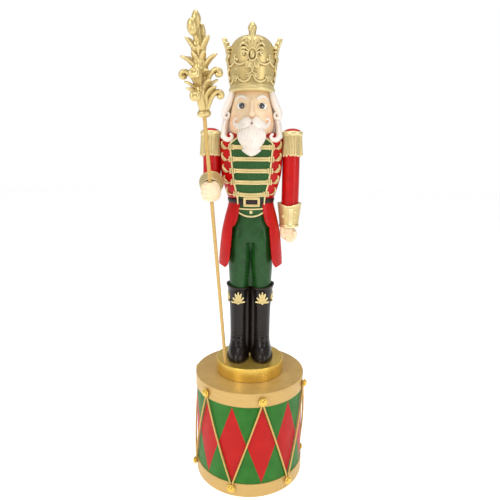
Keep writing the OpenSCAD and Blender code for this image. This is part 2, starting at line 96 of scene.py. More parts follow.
class Paint:
    """A material under construction: a Principled shader and a few shorthands for nodes."""

    def __init__(self, name):
        self.material = bpy.data.materials.new(name)
        self.material.use_nodes = True
        self.tree = self.material.node_tree
        self.shader = self.tree.nodes["Principled BSDF"]
        coordinates = self.node("ShaderNodeTexCoord")
        self.place = coordinates.outputs["Object"]

    def node(self, kind, inputs=(), **settings):
        made = self.tree.nodes.new(kind)
        for key, value in settings.items():
            setattr(made, key, value)
        for key, value in dict(inputs).items():
            self.put(made.inputs[key], value)
        return made

    def put(self, socket, value):
        if isinstance(value, bpy.types.NodeSocket):
            self.tree.links.new(value, socket)
        else:
            socket.default_value = value

    def math(self, operation, a, b=0.0):
        return self.node("ShaderNodeMath", {0: a, 1: b}, operation=operation).outputs[0]

    def axes(self):
        return self.node("ShaderNodeSeparateXYZ", {0: self.place}).outputs

    def stretched(self, x, y, z):
        scaled = self.node("ShaderNodeMapping", {"Vector": self.place, "Scale": (x, y, z)})
        return scaled.outputs[0]

    def speckle(self, size, detail=3.0, place=None):
        """Noise from 0 to 1 whose features are about size mm across."""
        settings = {"Vector": place or self.place, "Scale": 1 / (size * MM), "Detail": detail}
        return self.node("ShaderNodeTexNoise", settings).outputs[0]

    def clouds(self, size, detail=3.0, start=0.0, end=1.0):
        """The middle of that noise, spread from start to end."""
        return self.span(self.speckle(size, detail), 0.3, 0.7, start, end)

    def ramp(self, value, *stops):
        made = self.node("ShaderNodeValToRGB", {0: value})
        elements = made.color_ramp.elements
        while len(elements) < len(stops):
            elements.new(0.5)
        for element, (position, colour) in zip(elements, stops):
            element.position = position
            element.color = colour
        return made.outputs[0]

    def span(self, value, start, end, low_end=0.0, high_end=1.0):
        inputs = {0: value, 1: start, 2: end, 3: low_end, 4: high_end}
        return self.node("ShaderNodeMapRange", inputs).outputs[0]

    def mix(self, factor, a, b):
        made = self.node("ShaderNodeMix", data_type="RGBA")
        self.put(made.inputs[0], factor)
        self.put(made.inputs[6], a)
        self.put(made.inputs[7], b)
        return made.outputs[2]

    def near(self, centre, radius, softness):
        """1 within radius mm of a point in mm, falling to 0 over softness."""
        point = tuple(c * MM for c in centre)
        distance = self.node("ShaderNodeVectorMath", {0: self.place, 1: point}, operation="DISTANCE")
        return self.span(distance.outputs[1], radius * MM, (radius + softness) * MM, 1.0, 0.0)

    def crevice(self, deepest=0.40):
        """1 in hollows, 0 on flat and raised places."""
        geometry = self.node("ShaderNodeNewGeometry")
        return self.span(geometry.outputs["Pointiness"], 0.5, deepest)

    def ridge(self):
        geometry = self.node("ShaderNodeNewGeometry")
        return self.span(geometry.outputs["Pointiness"], 0.5, 0.60)

    def hollow_shade(self, amount, tone, colour):
        """A tone with a share of colour laid in its hollows as painted shade."""
        return self.mix(self.math("MULTIPLY", self.crevice(), amount), tone, colour)

    def bump(self, height, depth, strength):
        """Bumps depth mm deep."""
        inputs = {"Height": height, "Distance": depth * MM, "Strength": strength}
        self.put(self.shader.inputs["Normal"], self.node("ShaderNodeBump", inputs).outputs[0])

    def finish(self, colour, roughness, metallic=0.0, coat=0.0, coat_roughness=0.2, subsurface=0.0):
        inputs = {"Base Color": colour, "Roughness": roughness, "Metallic": metallic,
                  "Specular IOR Level": 0.5 if metallic else 0.22,
                  "Coat Weight": coat, "Coat Roughness": coat_roughness,
                  "Subsurface Weight": subsurface, "Subsurface Scale": 0.5,
                  "Subsurface Radius": (0.004, 0.002, 0.001)}
        for key, value in inputs.items():
            self.put(self.shader.inputs[key], value)
        return self.material


def gold_leaf_paint(name, light, mid, dark, roughness, metallic):
    """Cast resin in gold paint, with a painted highlight on its raised edges and painted brown shade in its
    hollows.
    """
    p = Paint(name)
    patches = p.mix(p.span(p.speckle(5), 0.35, 0.7), mid, dimmed(mid, 0.9))
    # Painted highlight: the light colour on raised edges.
    highlit_edges = p.mix(p.ridge(), patches, light)
    # Painted shade: the dark colour in the hollows, patchy.
    hollow_shade = p.math("MULTIPLY", p.crevice(0.445), p.span(p.speckle(4), 0.2, 0.6, 0.75, 1.0))
    hollow_shaded = p.mix(hollow_shade, highlit_edges, dark)
    p.bump(p.speckle(1.6), 0.04, 0.25)
    rough = p.clouds(1.6, 3, roughness - 0.05, roughness + 0.08)
    return p.finish(hollow_shaded, rough, metallic)


def satin_gold():
    """The drum's gold: a smooth metallic paint with faint rings left by the brush."""
    p = Paint("drum gold")
    brushed = p.speckle(9, 4, p.stretched(0.6, 0.6, 9))
    tone = p.mix(p.span(brushed, 0.3, 0.7), srgb(198, 160, 90), srgb(210, 173, 102))
    p.bump(p.speckle(5), 0.05, 0.3)
    return p.finish(tone, p.clouds(4, 3, 0.36, 0.44), 0.2)


def disc_gold():
    """The turntable's gold: brighter, yellower and smoother than the drum's."""
    p = Paint("disc gold")
    tone = p.mix(p.clouds(14), srgb(224, 184, 78), srgb(234, 198, 98))
    return p.finish(tone, p.clouds(14, 3, 0.24, 0.28), 0.7)


def diamond_paint():
    """Red diamonds on green, one at each peg's angle, painted by hand."""
    p = Paint("drum paint")
    x, y, z = p.axes()
    angle = p.math("ARCTAN2", x, p.math("MULTIPLY", y, -1))
    pitch = math.radians(PEG_STEP / 2)
    turned = p.math("ADD", angle, -math.radians(PEG_TURN) + 20.5 * pitch)
    across = p.math("ABSOLUTE", p.math("SUBTRACT", p.math("MODULO", turned, pitch), pitch / 2))
    middle = (HOOP_TOP + HOOP_FOOT) / 2 * MM
    reach = (HOOP_TOP - HOOP_FOOT) / 2 * MM - 0.0005
    along = p.math("ABSOLUTE", p.math("SUBTRACT", z, middle))
    edge = p.math("ADD", p.math("DIVIDE", across, pitch / 2), p.math("DIVIDE", along, reach))
    wobble = p.span(p.speckle(6, 2), 0, 1, -0.008, 0.008)
    inside = p.span(p.math("ADD", edge, wobble), 0.985, 0.995, 1.0, 0.0)
    clouds = p.clouds(14, 4)
    green = p.mix(clouds, srgb(34, 104, 24), srgb(46, 118, 34))
    red = p.mix(clouds, srgb(178, 8, 4), srgb(192, 15, 8))
    p.bump(p.speckle(1.2), 0.03, 0.3)
    return p.finish(p.mix(inside, green, red), p.clouds(5, 3, 0.4, 0.5), 0, 0.02, 0.3)


def satin_paint(name, light, dark, roughness, grain, depth=0.02):
    """Acrylic paint on cast resin: soft cloudy tone, with painted shade in the hollows."""
    p = Paint(name)
    clouds = p.mix(p.clouds(8, 4), dark, light)
    # Painted shade: a dimmed dark tone in the hollows.
    shaded = p.hollow_shade(0.7, clouds, dimmed(dark, 0.35))
    p.bump(p.speckle(grain, 4), depth, 0.4)
    rough = p.clouds(3, 3, roughness - 0.04, roughness + 0.06)
    return p.finish(shaded, rough, 0, 0.15, 0.25)


def felt_green():
    """The waistcoat's green, stippled like cloth."""
    p = Paint("waistcoat green")
    stipple = p.speckle(0.7, 5)
    tone = p.ramp(stipple, (0.3, srgb(28, 66, 30)), (0.55, srgb(48, 92, 46)), (0.75, srgb(76, 120, 70)))
    # Painted shade: dark green in the hollows.
    shaded = p.hollow_shade(0.8, tone, srgb(20, 44, 22))
    p.bump(stipple, 0.16, 0.7)
    return p.finish(shaded, 0.62)


def boot_leather():
    p = Paint("boot black")
    clouds = p.mix(p.clouds(6, 4), srgb(16, 11, 9), srgb(30, 21, 17))
    # Raised edges go a lighter brown.
    brown_ridges = p.mix(p.math("MULTIPLY", p.ridge(), 0.25), clouds, srgb(78, 58, 42))
    p.bump(p.speckle(1.4, 4), 0.05, 0.4)
    return p.finish(brown_ridges, p.clouds(4, 3, 0.26, 0.38), 0, 0.2, 0.16)


def skin_paint():
    """Pale skin with orange cheeks, a painted brown shadow under the crown's rim and painted shade under
    the nose.
    """
    p = Paint("skin")
    tone = p.mix(p.clouds(7, 4), srgb(243, 214, 174), srgb(248, 224, 190))
    for side in (-1, 1):
        blush = p.math("MULTIPLY", p.near((side * 18, -15, CHIN + 17), 2, 9), 0.6)
        tone = p.mix(blush, tone, srgb(236, 158, 108))
    z = p.axes()[2]
    # Painted shadow under the crown's rim, strongest just below it.
    shade = p.span(z, (RIM - 8) * MM, RIM * MM, 0.0, 0.55)
    tone = p.mix(shade, tone, srgb(205, 148, 84))
    # Painted shade under the tip of the nose.
    nose_shadow = p.math("MULTIPLY", p.near((0, -25.4, CHIN + 19.9), 2.4, 1.4), 0.8)
    tone = p.mix(nose_shadow, tone, srgb(186, 138, 80))
    # Painted shade in the hollows.
    tone = p.hollow_shade(0.8, tone, srgb(196, 138, 88))
    p.bump(p.speckle(1.5), 0.03, 0.3)
    return p.finish(tone, 0.42, 0, 0.1, 0.3, 0.08)


def hair_paint():
    """Off-white, with painted warm grey shade between the strands."""
    p = Paint("hair white")
    tone = p.mix(p.clouds(6, 4), srgb(234, 222, 210), srgb(244, 236, 226))
    # Painted shade between the strands.
    tone = p.hollow_shade(0.85, tone, srgb(178, 148, 126))
    p.bump(p.speckle(1.0), 0.04, 0.35)
    return p.finish(tone, 0.45, 0, 0.1, 0.3, 0.06)


def eye_paint(centres, iris_r):
    """White of the eye with a dark grey iris, a black pupil and a small painted light."""
    p = Paint("eye")
    tone = p.mix(p.clouds(3), srgb(246, 244, 240), srgb(255, 254, 252))
    for c in centres:
        tone = p.mix(p.near(c, iris_r, 0.25), tone, srgb(44, 46, 52))
        tone = p.mix(p.near(c, iris_r * 0.66, 0.5), tone, srgb(92, 94, 100))
        tone = p.mix(p.near(c, iris_r * 0.42, 0.25), tone, srgb(16, 15, 16))
        glint = (c[0] + 0.5, c[1], c[2] - 0.5)
        tone = p.mix(p.near(glint, 0.35, 0.25), tone, srgb(225, 222, 210))
    return p.finish(tone, 0.16, 0, 0.6, 0.08)


def plain_paint(name, colour, roughness, metallic=0.0):
    p = Paint(name)
    tone = p.mix(p.clouds(5, 4), colour, dimmed(colour, 0.8))
    p.bump(p.speckle(1.0), 0.03, 0.3)
    return p.finish(tone, roughness, metallic)


def wood():
    p = Paint("base wood")
    grain = p.speckle(3, 5, p.stretched(0.12, 1.5, 1))
    tone = p.ramp(grain, (0.3, srgb(150, 112, 70)), (0.7, srgb(196, 160, 112)))
    p.bump(grain, 0.1, 0.4)
    return p.finish(tone, 0.6)


# ---- Mesh code: a shape is a pair of points in mm and faces ----


def spline(rows, steps):
    """A Catmull-Rom curve through rows of numbers."""
    p = np.array(rows, float)
    p = np.vstack([2 * p[0] - p[1], p, 2 * p[-1] - p[-2]])
    out = []
    for a, b, c, d in zip(p, p[1:], p[2:], p[3:]):
        for t in np.arange(steps) / steps:
            out.append(0.5 * (2 * b + (c - a) * t + (2 * a - 5 * b + 4 * c - d) * t**2
                              + (3 * b - a - 3 * c + d) * t**3))
    out.append(p[-2])
    return np.array(out)


def unit(v):
    return v / np.maximum(np.linalg.norm(v, axis=-1, keepdims=True), 1e-9)


def around(sides):
    """The angles of a ring's points."""
    return 2 * np.pi * np.arange(sides) / sides


def bell(*offsets):
    """1 where all offsets are 0, near 0 from 2 on."""
    return math.exp(-sum(d * d for d in offsets))


def grid(point, across, down):
    """Rows of point(u, v), with u from across and v from down."""
    return np.array([[point(u, v) for u in across] for v in down])


def skin_rings(rings, closed=False):
    """Quads between rings of equal length, with the two ends filled or joined to each other."""
    count, sides = len(rings), len(rings[0])
    faces = []
    for i in range(count if closed else count - 1):
        a, b = i * sides, (i + 1) % count * sides
        for j in range(sides):
            k = (j + 1) % sides
            faces.append([a + j, a + k, b + k, b + j])
    if not closed:
        faces.append(list(range(sides))[::-1])
        faces.append(list(range((count - 1) * sides, count * sides)))
    return np.vstack(rings), faces


def sweep(path, ups, across, out, sides, groove=0.0):
    """An oval bar along a path: half width across, half height out along ups, grooved by a share of it."""
    path = np.asarray(path, float)
    across = np.broadcast_to(across, len(path))
    out = np.broadcast_to(out, len(path))
    along = unit(np.gradient(path, axis=0))
    ups = np.broadcast_to(np.asarray(ups, float), path.shape)
    sideways = unit(np.cross(along, ups))
    upward = np.cross(sideways, along)
    c, h = np.cos(around(sides)), np.sin(around(sides))
    height = np.where(h > 0, h * (1 - groove * np.exp(-((c / 0.3) ** 2))), h)
    return skin_rings([p + np.outer(a * c, s) + np.outer(o * height, u)
                       for p, s, u, a, o in zip(path, sideways, upward, across, out)])


def tube(path, radius, sides):
    """A round bar along a path, whose section doesn't twist."""
    path = np.asarray(path, float)
    along = unit(np.gradient(path, axis=0))
    up = np.array([0.3, 0.2, 1.0])
    ups = []
    for t in along:
        up = up - t * np.dot(up, t)
        if np.linalg.norm(up) < 0.1:
            up = np.cross(t, [1.0, 0.0, 0.0])
        up = unit(up)
        ups.append(up)
    return sweep(path, ups, radius, radius, sides)


def lathe(profile, sides, wobble=None):
    """A profile of (radius, height) turned about Z; wobble(angle, height) adds to the radius."""
    rings = []
    for r, z in profile:
        radius = r + np.array([wobble(a, z) for a in around(sides)]) if wobble else r
        rings.append(oval(0, 0, z, radius, radius, sides))
    return skin_rings(rings)


def oval(x, y, z, rx, ry, sides):
    """One level ring of a loft."""
    turn = around(sides)
    return np.stack([x + rx * np.sin(turn), y - ry * np.cos(turn), np.full(sides, float(z))], 1)


def blob(centre, radii, sides):
    """An ellipsoid."""
    turn = np.pi * np.arange(1, sides // 2) / (sides // 2)
    rx, ry, rz = np.broadcast_to(radii, 3)
    rings = [oval(0, 0, rz * math.cos(t), rx * math.sin(t), ry * math.sin(t), sides) for t in turn]
    verts, faces = skin_rings(rings)
    return verts + np.array(centre, float), faces


def moved(shape, by):
    return shape[0] + np.array(by, float), shape[1]


def turned(shape, degrees):
    a = math.radians(degrees)
    spin = np.array([[math.cos(a), -math.sin(a), 0], [math.sin(a), math.cos(a), 0], [0, 0, 1]])
    return shape[0] @ spin.T, shape[1]


def flipped(shape):
    return shape[0] * np.array([-1, 1, 1]), [f[::-1] for f in shape[1]]


def both(shapes):
    return shapes + [flipped(s) for s in shapes]


def slab(front, back):
    """A closed sheet between two equal grids of points."""
    rows, cols = front.shape[:2]
    verts = np.vstack([front.reshape(-1, 3), back.reshape(-1, 3)])
    n = rows * cols
    faces = []
    for i in range(rows - 1):
        for j in range(cols - 1):
            a = i * cols + j
            faces.append([a, a + 1, a + cols + 1, a + cols])
            faces.append([n + a, n + a + cols, n + a + cols + 1, n + a + 1])
    rim = list(range(cols)) + [i * cols + cols - 1 for i in range(1, rows)]
    rim += [(rows - 1) * cols + j for j in range(cols - 2, -1, -1)]
    rim += [i * cols for i in range(rows - 2, 0, -1)]
    for a, b in zip(rim, rim[1:] + rim[:1]):
        faces.append([a, n + a, n + b, b])
    return verts, faces


def remesh(obj, voxel, rounds):
    """Melts a piece's shapes into one skin, as if they were cast together."""
    skin = obj.modifiers.new("skin", "REMESH")
    skin.mode = "VOXEL"
    skin.voxel_size = voxel * MM
    soften = obj.modifiers.new("soften", "SMOOTH")
    soften.factor = 0.5
    soften.iterations = rounds
    scene_graph = bpy.context.evaluated_depsgraph_get()
    cast = bpy.data.meshes.new_from_object(obj.evaluated_get(scene_graph))
    old = obj.data
    obj.modifiers.clear()
    obj.data = cast
    bpy.data.meshes.remove(old)


def piece(name, shapes, finish, replaced=None, body="figure", sharp=None, voxel=None, rounds=3, shift=None):
    """Makes a piece from shapes, with the material of finish, a pair of (slot, material) whose slot is not
    used.

    It rides on a body and stands for the CAD nodes in replaced, or for the node of its own name.
    A voxel size melts the shapes together, and shift(point, normal) gives each vertex a move in mm.
    """
    slot, material = finish
    points, faces, start = [], [], 0
    for verts, polygons in shapes:
        points.append(verts * MM)
        faces += [[start + i for i in f] for f in polygons]
        start += len(verts)
    mesh = bpy.data.meshes.new(name)
    mesh.from_pydata(np.vstack(points).tolist(), [], faces)
    work = bmesh.new()
    work.from_mesh(mesh)
    bmesh.ops.recalc_face_normals(work, faces=work.faces)
    work.to_mesh(mesh)
    work.free()
    obj = bpy.data.objects.new(name, mesh)
    bpy.context.scene.collection.objects.link(obj)
    if voxel:
        remesh(obj, voxel, rounds)
    if shift:
        moves = [Vector(shift(v.co / MM, v.normal)) * MM for v in obj.data.vertices]
        for v, move in zip(obj.data.vertices, moves):
            v.co += move
    obj.data.materials.clear()
    obj.data.materials.append(material)
    obj.data.polygons.foreach_set("use_smooth", [True] * len(obj.data.polygons))
    if sharp:
        obj.data.set_sharp_from_angle(angle=math.radians(sharp))
    obj.data.update()
    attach(obj, body)
    if replaced is None:
        replaced = (name,)
    if replaced:
        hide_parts(*replaced)


def curve(points):
    """A smooth function of one number through (number, value) pairs."""
    fine = spline(points, 8)
    order = np.argsort(fine[:, 0])
    return lambda x: np.interp(x, fine[order, 0], fine[order, 1])


# ---- The finishes in use: (slot, material) ----
# In each gold, light is the colour of a painted highlight on raised edges and dark the colour of painted
# shade in the hollows.
GOLD_LEAF, GOLD_TRIM, GOLD_STAFF, GOLD_CORD = (
    (slot, gold_leaf_paint(name, srgb(*light), srgb(*mid), srgb(*dark), roughness, metallic))
    for slot, name, light, mid, dark, roughness, metallic in (
        ("gold_figure", "figure gold", (250, 238, 188), (214, 190, 128), (116, 84, 36), 0.36, 0.55),
        ("gold_figure", "trim gold", (250, 240, 192), (218, 194, 130), (116, 84, 38), 0.36, 0.5),
        ("gold_staff", "staff gold", (250, 236, 184), (212, 186, 120), (112, 80, 34), 0.34, 0.55),
        ("cord", "cord gold", (238, 204, 128), (208, 166, 84), (92, 58, 22), 0.46, 0.4)))
GOLD_DRUM = satin_gold()
GOLD_DISC = disc_gold()
RED = ("red_cloth", satin_paint("coat red", srgb(198, 10, 10), srgb(180, 4, 5), 0.34, 1.2))
GREEN = ("green_cloth", satin_paint("trouser green", srgb(34, 82, 32), srgb(24, 64, 24), 0.28, 1.2))
FELT = ("green_cloth", felt_green())
BOOT = ("boot_black", boot_leather())
SKIN = ("skin", skin_paint())
HAIR = ("hair_white", hair_paint())
LEATHER = ("boot_black", satin_paint("belt leather", srgb(54, 38, 32), srgb(34, 24, 21), 0.4, 0.7, 0.07))

# ---- Drum ----


def dress(node, material):
    """Gives a CAD node its finish."""
    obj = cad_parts[node]
    obj.data.materials.clear()
    obj.data.materials.append(material)


dress("base_plate", wood())
dress("drum_shell", diamond_paint())
for node in ("top_hoop", "bottom_hoop", "drum_head"):
    dress(node, GOLD_DRUM)
for node, name, tone, roughness, metallic in (("bearing_bush", "brass", (190, 150, 70), 0.3, 0.9),
                                              ("movement_case", "case plastic", (60, 60, 62), 0.45, 0.0),
                                              ("movement_screws", "screw steel", (190, 190, 195), 0.3, 1.0),
                                              ("turn_spindle", "spindle steel", (190, 190, 195), 0.3, 1.0)):
    dress(node, plain_paint(name, srgb(*tone), roughness, metallic))
dress("pedestal_disc", GOLD_DISC)

CORD_R = 1.0
PEG_STAND = 2 * CORD_R + 0.1
FLANGE_R = 4.7
BALL_R = 3.7
PEG_ROUND = 0.62


def peg_ring(name, height, first_angle):
    profile = [(0.01, 0), (1, 0), (1, PEG_STAND), (FLANGE_R - 0.3, PEG_STAND), (FLANGE_R, PEG_STAND + 0.3),
               (FLANGE_R - 0.1, PEG_STAND + 0.7), (BALL_R - 0.25, PEG_STAND + 1.0)]
    centre = PEG_STAND + 1.1
    for t in np.radians(np.arange(10, 90, 10)):
        profile.append((BALL_R * math.cos(t), centre + PEG_ROUND * BALL_R * math.sin(t)))
    profile.append((0.01, centre + PEG_ROUND * BALL_R))
    verts, faces = lathe(profile, 40)
    outward = np.stack([verts[:, 0], -verts[:, 2] - HOOP_R, verts[:, 1] + height], 1)
    pegs = [turned((outward, faces), first_angle + k * PEG_STEP) for k in range(PEG_COUNT)]
    piece(name, pegs, ("gold_drum", GOLD_DISC), body="drum", sharp=40)


peg_ring("top_pegs", TOP_PEG, PEG_TURN)
peg_ring("bottom_pegs", BOTTOM_PEG, PEG_TURN + PEG_STEP / 2)


def laced_cord():
    """A three-strand cord, laced in straight runs from behind one peg's head to the next."""
    path_r = HOOP_R + CORD_R + 0.05
    half = math.radians(PEG_STEP / 2) * path_r
    loop = [(-1.1, -5.4), (-1.4, -3), (-2.0, -0.6), (-1.6, 1.3), (0, 2.1), (1.6, 1.3), (2.0, -0.6),
            (1.4, -3), (1.1, -5.4)]
    flat = []
    for k in range(PEG_COUNT):
        flat += [(2 * k * half + x, TOP_PEG + z) for x, z in loop]
        flat += [((2 * k + 1) * half + x, BOTTOM_PEG - z) for x, z in loop]
    flat.append((flat[0][0] + 2 * PEG_COUNT * half, flat[0][1]))
    flat = np.array(flat)
    steps = np.concatenate([[0], np.cumsum(np.linalg.norm(np.diff(flat, axis=0), axis=1))])
    length = steps[-1]
    rings, sides, lay_length = 2400, 15, 5.4
    at = np.arange(rings) / rings * length
    s = np.interp(at, steps, flat[:, 0])
    z = np.interp(at, steps, flat[:, 1])
    angle = math.radians(PEG_TURN) + s / path_r
    path = np.stack([path_r * np.sin(angle), -path_r * np.cos(angle), z], 1)
    outward = np.stack([np.sin(angle), -np.cos(angle), 0 * angle], 1)
    along = unit(np.roll(path, -1, 0) - np.roll(path, 1, 0))
    sideways = unit(np.cross(along, outward))
    twists = round(length / lay_length)
    turn = around(sides)
    out = []
    for i in range(rings):
        lay = 2 * np.pi * twists * at[i] / length
        r = CORD_R * (0.56 + 0.5 * np.abs(np.cos(1.5 * (turn - lay))))
        ring = np.outer(r * np.cos(turn), sideways[i]) + np.outer(r * np.sin(turn), outward[i])
        out.append(path[i] + ring)
    piece("drum_cord", [skin_rings(out, closed=True)], GOLD_CORD, body="drum")


laced_cord()

# ---- Boots and legs ----

boot_half = curve([
    (0, 12.4), (3, 11.9), (7, 11.6), (11, 10.8), (15, 9.7), (20, 9.1), (27, 8.9), (40, 9.0), (55, 9.3),
    (66, 10.0), (76, 11.1), (83, 12.2), (86, 12.6)])
boot_front = curve([
    (0, 24.4), (4, 24.3), (8, 22.6), (12, 18.6), (16, 14.4), (20, 11.9), (25, 10.7), (32, 10.5), (45, 11.2),
    (60, 11.9), (74, 13.0), (83, 14.4), (86, 14.9)])
boot_back = curve([
    (0, 15.8), (4, 15.6), (10, 14.4), (18, 13.6), (30, 13.2), (50, 12.6), (70, 13.0), (86, 14.8)])

BOOT_ANGLES = around(64)


def boot_ring(h, grow=0.0):
    ring = []
    for a in BOOT_ANGLES:
        reach = boot_front(h) if math.cos(a) > 0 else boot_back(h)
        ankle = bell((h - 22) / 7) * max(math.cos(a), 0)
        crease = 0.7 * math.sin(1.15 * h) * ankle
        x = (boot_half(h) + grow) * math.sin(a)
        y = -(reach + grow + crease) * math.cos(a)
        ring.append([BOOT_X + x, y + 1, SOLE + h])
    return np.array(ring)


def lip_lift(a):
    """The boot's top edge rises on the outer side and dips in front."""
    return 1.6 * math.sin(a) - 1.2 * max(math.cos(a), 0)


def boot_shapes():
    rings = [boot_ring(0.2, -0.6), boot_ring(0.2, 0.3), boot_ring(0.8, 0.6), boot_ring(2.3, 0.6),
             boot_ring(2.5, -0.2), boot_ring(3.0, -0.3)]
    rings += [boot_ring(h) for h in np.arange(3.5, 79, 1.5)]
    lift = np.array([[0, 0, lip_lift(a)] for a in BOOT_ANGLES])
    for h, share, grow in ((80, 0.4, 0), (82, 0.8, 0.1), (83, 1, 0.6), (84.2, 1, 0.9), (85.2, 1, 0.6),
                           (85.5, 1, -0.3), (84.5, 1, -1.2), (80, 1, -1.6)):
        rings.append(boot_ring(h, grow) + lift * share)
    web = [oval(3.8, 1.5, SOLE + h, 3.8, ry, 24)
           for h, ry in ((3, 6), (12, 4.5), (45, 4.5), (76, 5), (84, 5))]
    return [skin_rings(rings), skin_rings(web)]


def palmette(width, height):
    """A fan of seven grooved leaves in the XZ plane with its foot at the origin, facing -Y."""
    shapes = []
    for a in np.radians(np.linspace(-75, 75, 7)):
        long = height * (1 - 0.22 * math.sin(a) ** 2)
        foot = np.array([1.2 * math.sin(a), 0, 0.1 * height])
        tip = np.array([math.sin(a) * width / 2 * 1.02, 0, long * math.cos(a) + 0.05 * height])
        rows = []
        for t, w in ((0, 0.4), (0.3, 0.75), (0.6, 1.15), (0.85, 1.0), (1.0, 0.3)):
            p = foot + (tip - foot) * t
            rows.append([p[0], -1.0 - 1.3 * t * t, p[2], w, 0.9])
        rows = spline(rows, 4)
        shapes.append(sweep(rows[:, :3], (0, -1, 0), rows[:, 3], rows[:, 4], 12, 0.35))
    shapes.append(blob((0, -1.4, 0.1 * height), (1.7, 1.5, 1.5), 16))
    return shapes


for side in ("left", "right"):
    shapes = boot_shapes()
    if side == "right":
        shapes = [flipped(s) for s in shapes]
    piece(f"{side}_boot", shapes, BOOT, sharp=50)

ornaments = []
PALM_FOOT = 65.0
for shape in palmette(15.5, 14.5):
    verts = shape[0]
    lean = np.stack([verts[:, 0] + BOOT_X - 0.4, verts[:, 1] - 11.6 - 0.09 * verts[:, 2],
                     verts[:, 2] + SOLE + PALM_FOOT], 1)
    ornaments.append((lean, shape[1]))
for shape in palmette(13, 12):
    verts, faces = turned(shape, 90)
    ornaments.append(moved((verts, faces), (BOOT_X + 9.3, 0.5, SOLE + PALM_FOOT)))
ornaments.append(blob((BOOT_X + 9.6, 0.5, SOLE + PALM_FOOT + 7), (2.2, 5.6, 6.6), 24))
piece("boot_ornaments", both(ornaments), GOLD_TRIM, voxel=0.4, rounds=2)

LEG_FOOT = BOOT_TOP - 8
CROTCH = SOLE + 126


def trouser_shapes():
    leg = [(LEG_FOOT, 13.0, 10.1, 11.8), (BOOT_TOP + 6, 12.9, 10.6, 12.2),
           (BOOT_TOP + 20, 12.6, 11.6, 13.4), (CROTCH - 8, 12.3, 12.4, 14.6),
           (CROTCH + 12, 11.6, 12.6, 15.2), (CROTCH + 24, 9.5, 12.4, 14)]
    rings = [oval(x, 0, z, rx, ry, 64) for z, x, rx, ry in spline(leg, 6)]
    hips = [(CROTCH + 8, 18.5, 14.2), (CROTCH + 14, 23.6, 15.8), (CROTCH + 27, 24, 16.2),
            (WAIST - 8, 22.9, 16), (WAIST + 0.6, 22.2, 15.8)]
    rings_up = [oval(0, 0, z, rx, ry, 96) for z, rx, ry in spline(hips, 5)]
    web = [oval(0, 1, z, 6, ry, 32)
           for z, ry in ((BOOT_TOP - 2, 4.5), (BOOT_TOP + 12, 4.5), (CROTCH - 6, 5), (CROTCH + 8, 11))]
    return both([skin_rings(rings)]) + [skin_rings(rings_up), skin_rings(web)]


piece("trousers", trouser_shapes(), GREEN, voxel=0.7, rounds=6)

# ---- Coat ----

chest_half = curve([
    (-2, 22.3), (0, 22.6), (7, 24.4), (20, 28.9), (34, 32.2), (50, 33.0), (63, 32.6), (71, 30.4),
    (75, 26.5)])
chest_deep = curve([
    (-2, 16.0), (0, 16.2), (7, 17.2), (20, 18.8), (34, 19.7), (50, 19.9), (63, 19.2), (70, 16.6),
    (75, 12.0)])


def oval_front(x, rx, ry):
    """The depth of an oval's front at x."""
    return -ry * math.sqrt(max(1 - (x / rx) ** 2, 0.02))


def chest_front(x, h, out):
    """The chest's surface seen from in front: a point out mm proud of it."""
    return [x, oval_front(x, chest_half(h) + out, chest_deep(h) + out), WAIST + h]


def chest_up(x, h):
    rx, ry = chest_half(h), chest_deep(h)
    return unit(np.array([x / rx**2, oval_front(x, rx, 1) / ry, 0]))


def on_chest(rows, steps=5, groove=0.0, sides=12):
    """A bar on the chest along rows of (x, height, out, half width, half height)."""
    fine = spline(rows, steps)
    path = [chest_front(x, h, out) for x, h, out, _, _ in fine]
    ups = [chest_up(x, h) for x, h, _, _, _ in fine]
    return sweep(path, ups, fine[:, 3], fine[:, 4], sides, groove)


rings = [oval(0, 0, WAIST + h, chest_half(h), chest_deep(h), 96) for h in np.arange(-1, 71, 1.5)]
rings += [oval(0, 0, WAIST + h, r, d, 96) for h, r, d in
          ((71.5, 29.6, 16.2), (73.5, 28.0, 14.6), (75.2, 25, 12), (76.2, 20, 9), (76.6, 8, 4))]
piece("coat_body", [skin_rings(rings)], RED)

VEST_FOOT = 1.4
vest_half = curve([(VEST_FOOT, 12.9), (8.7, 13.6), (26, 17.6), (45, 19.7), (60, 21.2), (63, 21.0)])
VEST_SHOULDER = 62.6
VEST_TOP = 69.0
VEST_OUT = 1.2


def vest_edge(h):
    """Half the waistcoat's width at a height: it narrows in a straight line over the shoulder."""
    if h <= VEST_SHOULDER:
        return float(vest_half(h))
    return float(np.interp(h, (VEST_SHOULDER, VEST_TOP), (21.0, 13.5)))


def vest_grid(out):
    levels = [*np.linspace(VEST_FOOT, VEST_SHOULDER, 40), *np.linspace(VEST_SHOULDER + 1, VEST_TOP, 5)]
    return grid(lambda u, h: chest_front(u * vest_edge(h), h, out), np.linspace(-1, 1, 41), levels)


piece("waistcoat", [slab(vest_grid(VEST_OUT), vest_grid(-0.8))], FELT, sharp=50)

piping = [(12.9, 0.5), (13.6, 8.7), (15.5, 17), (17.6, 26), (19.7, 45), (20.8, 56), (21.3, 61.6),
          (20.2, 64.4), (17, 67.0), (12.5, 70.2)]
piping_rows = [(x + 0.6, h, VEST_OUT - 0.1, 1.0, 1.05) for x, h in piping]
piece("waistcoat_piping", both([on_chest(piping_rows)]), GOLD_TRIM)

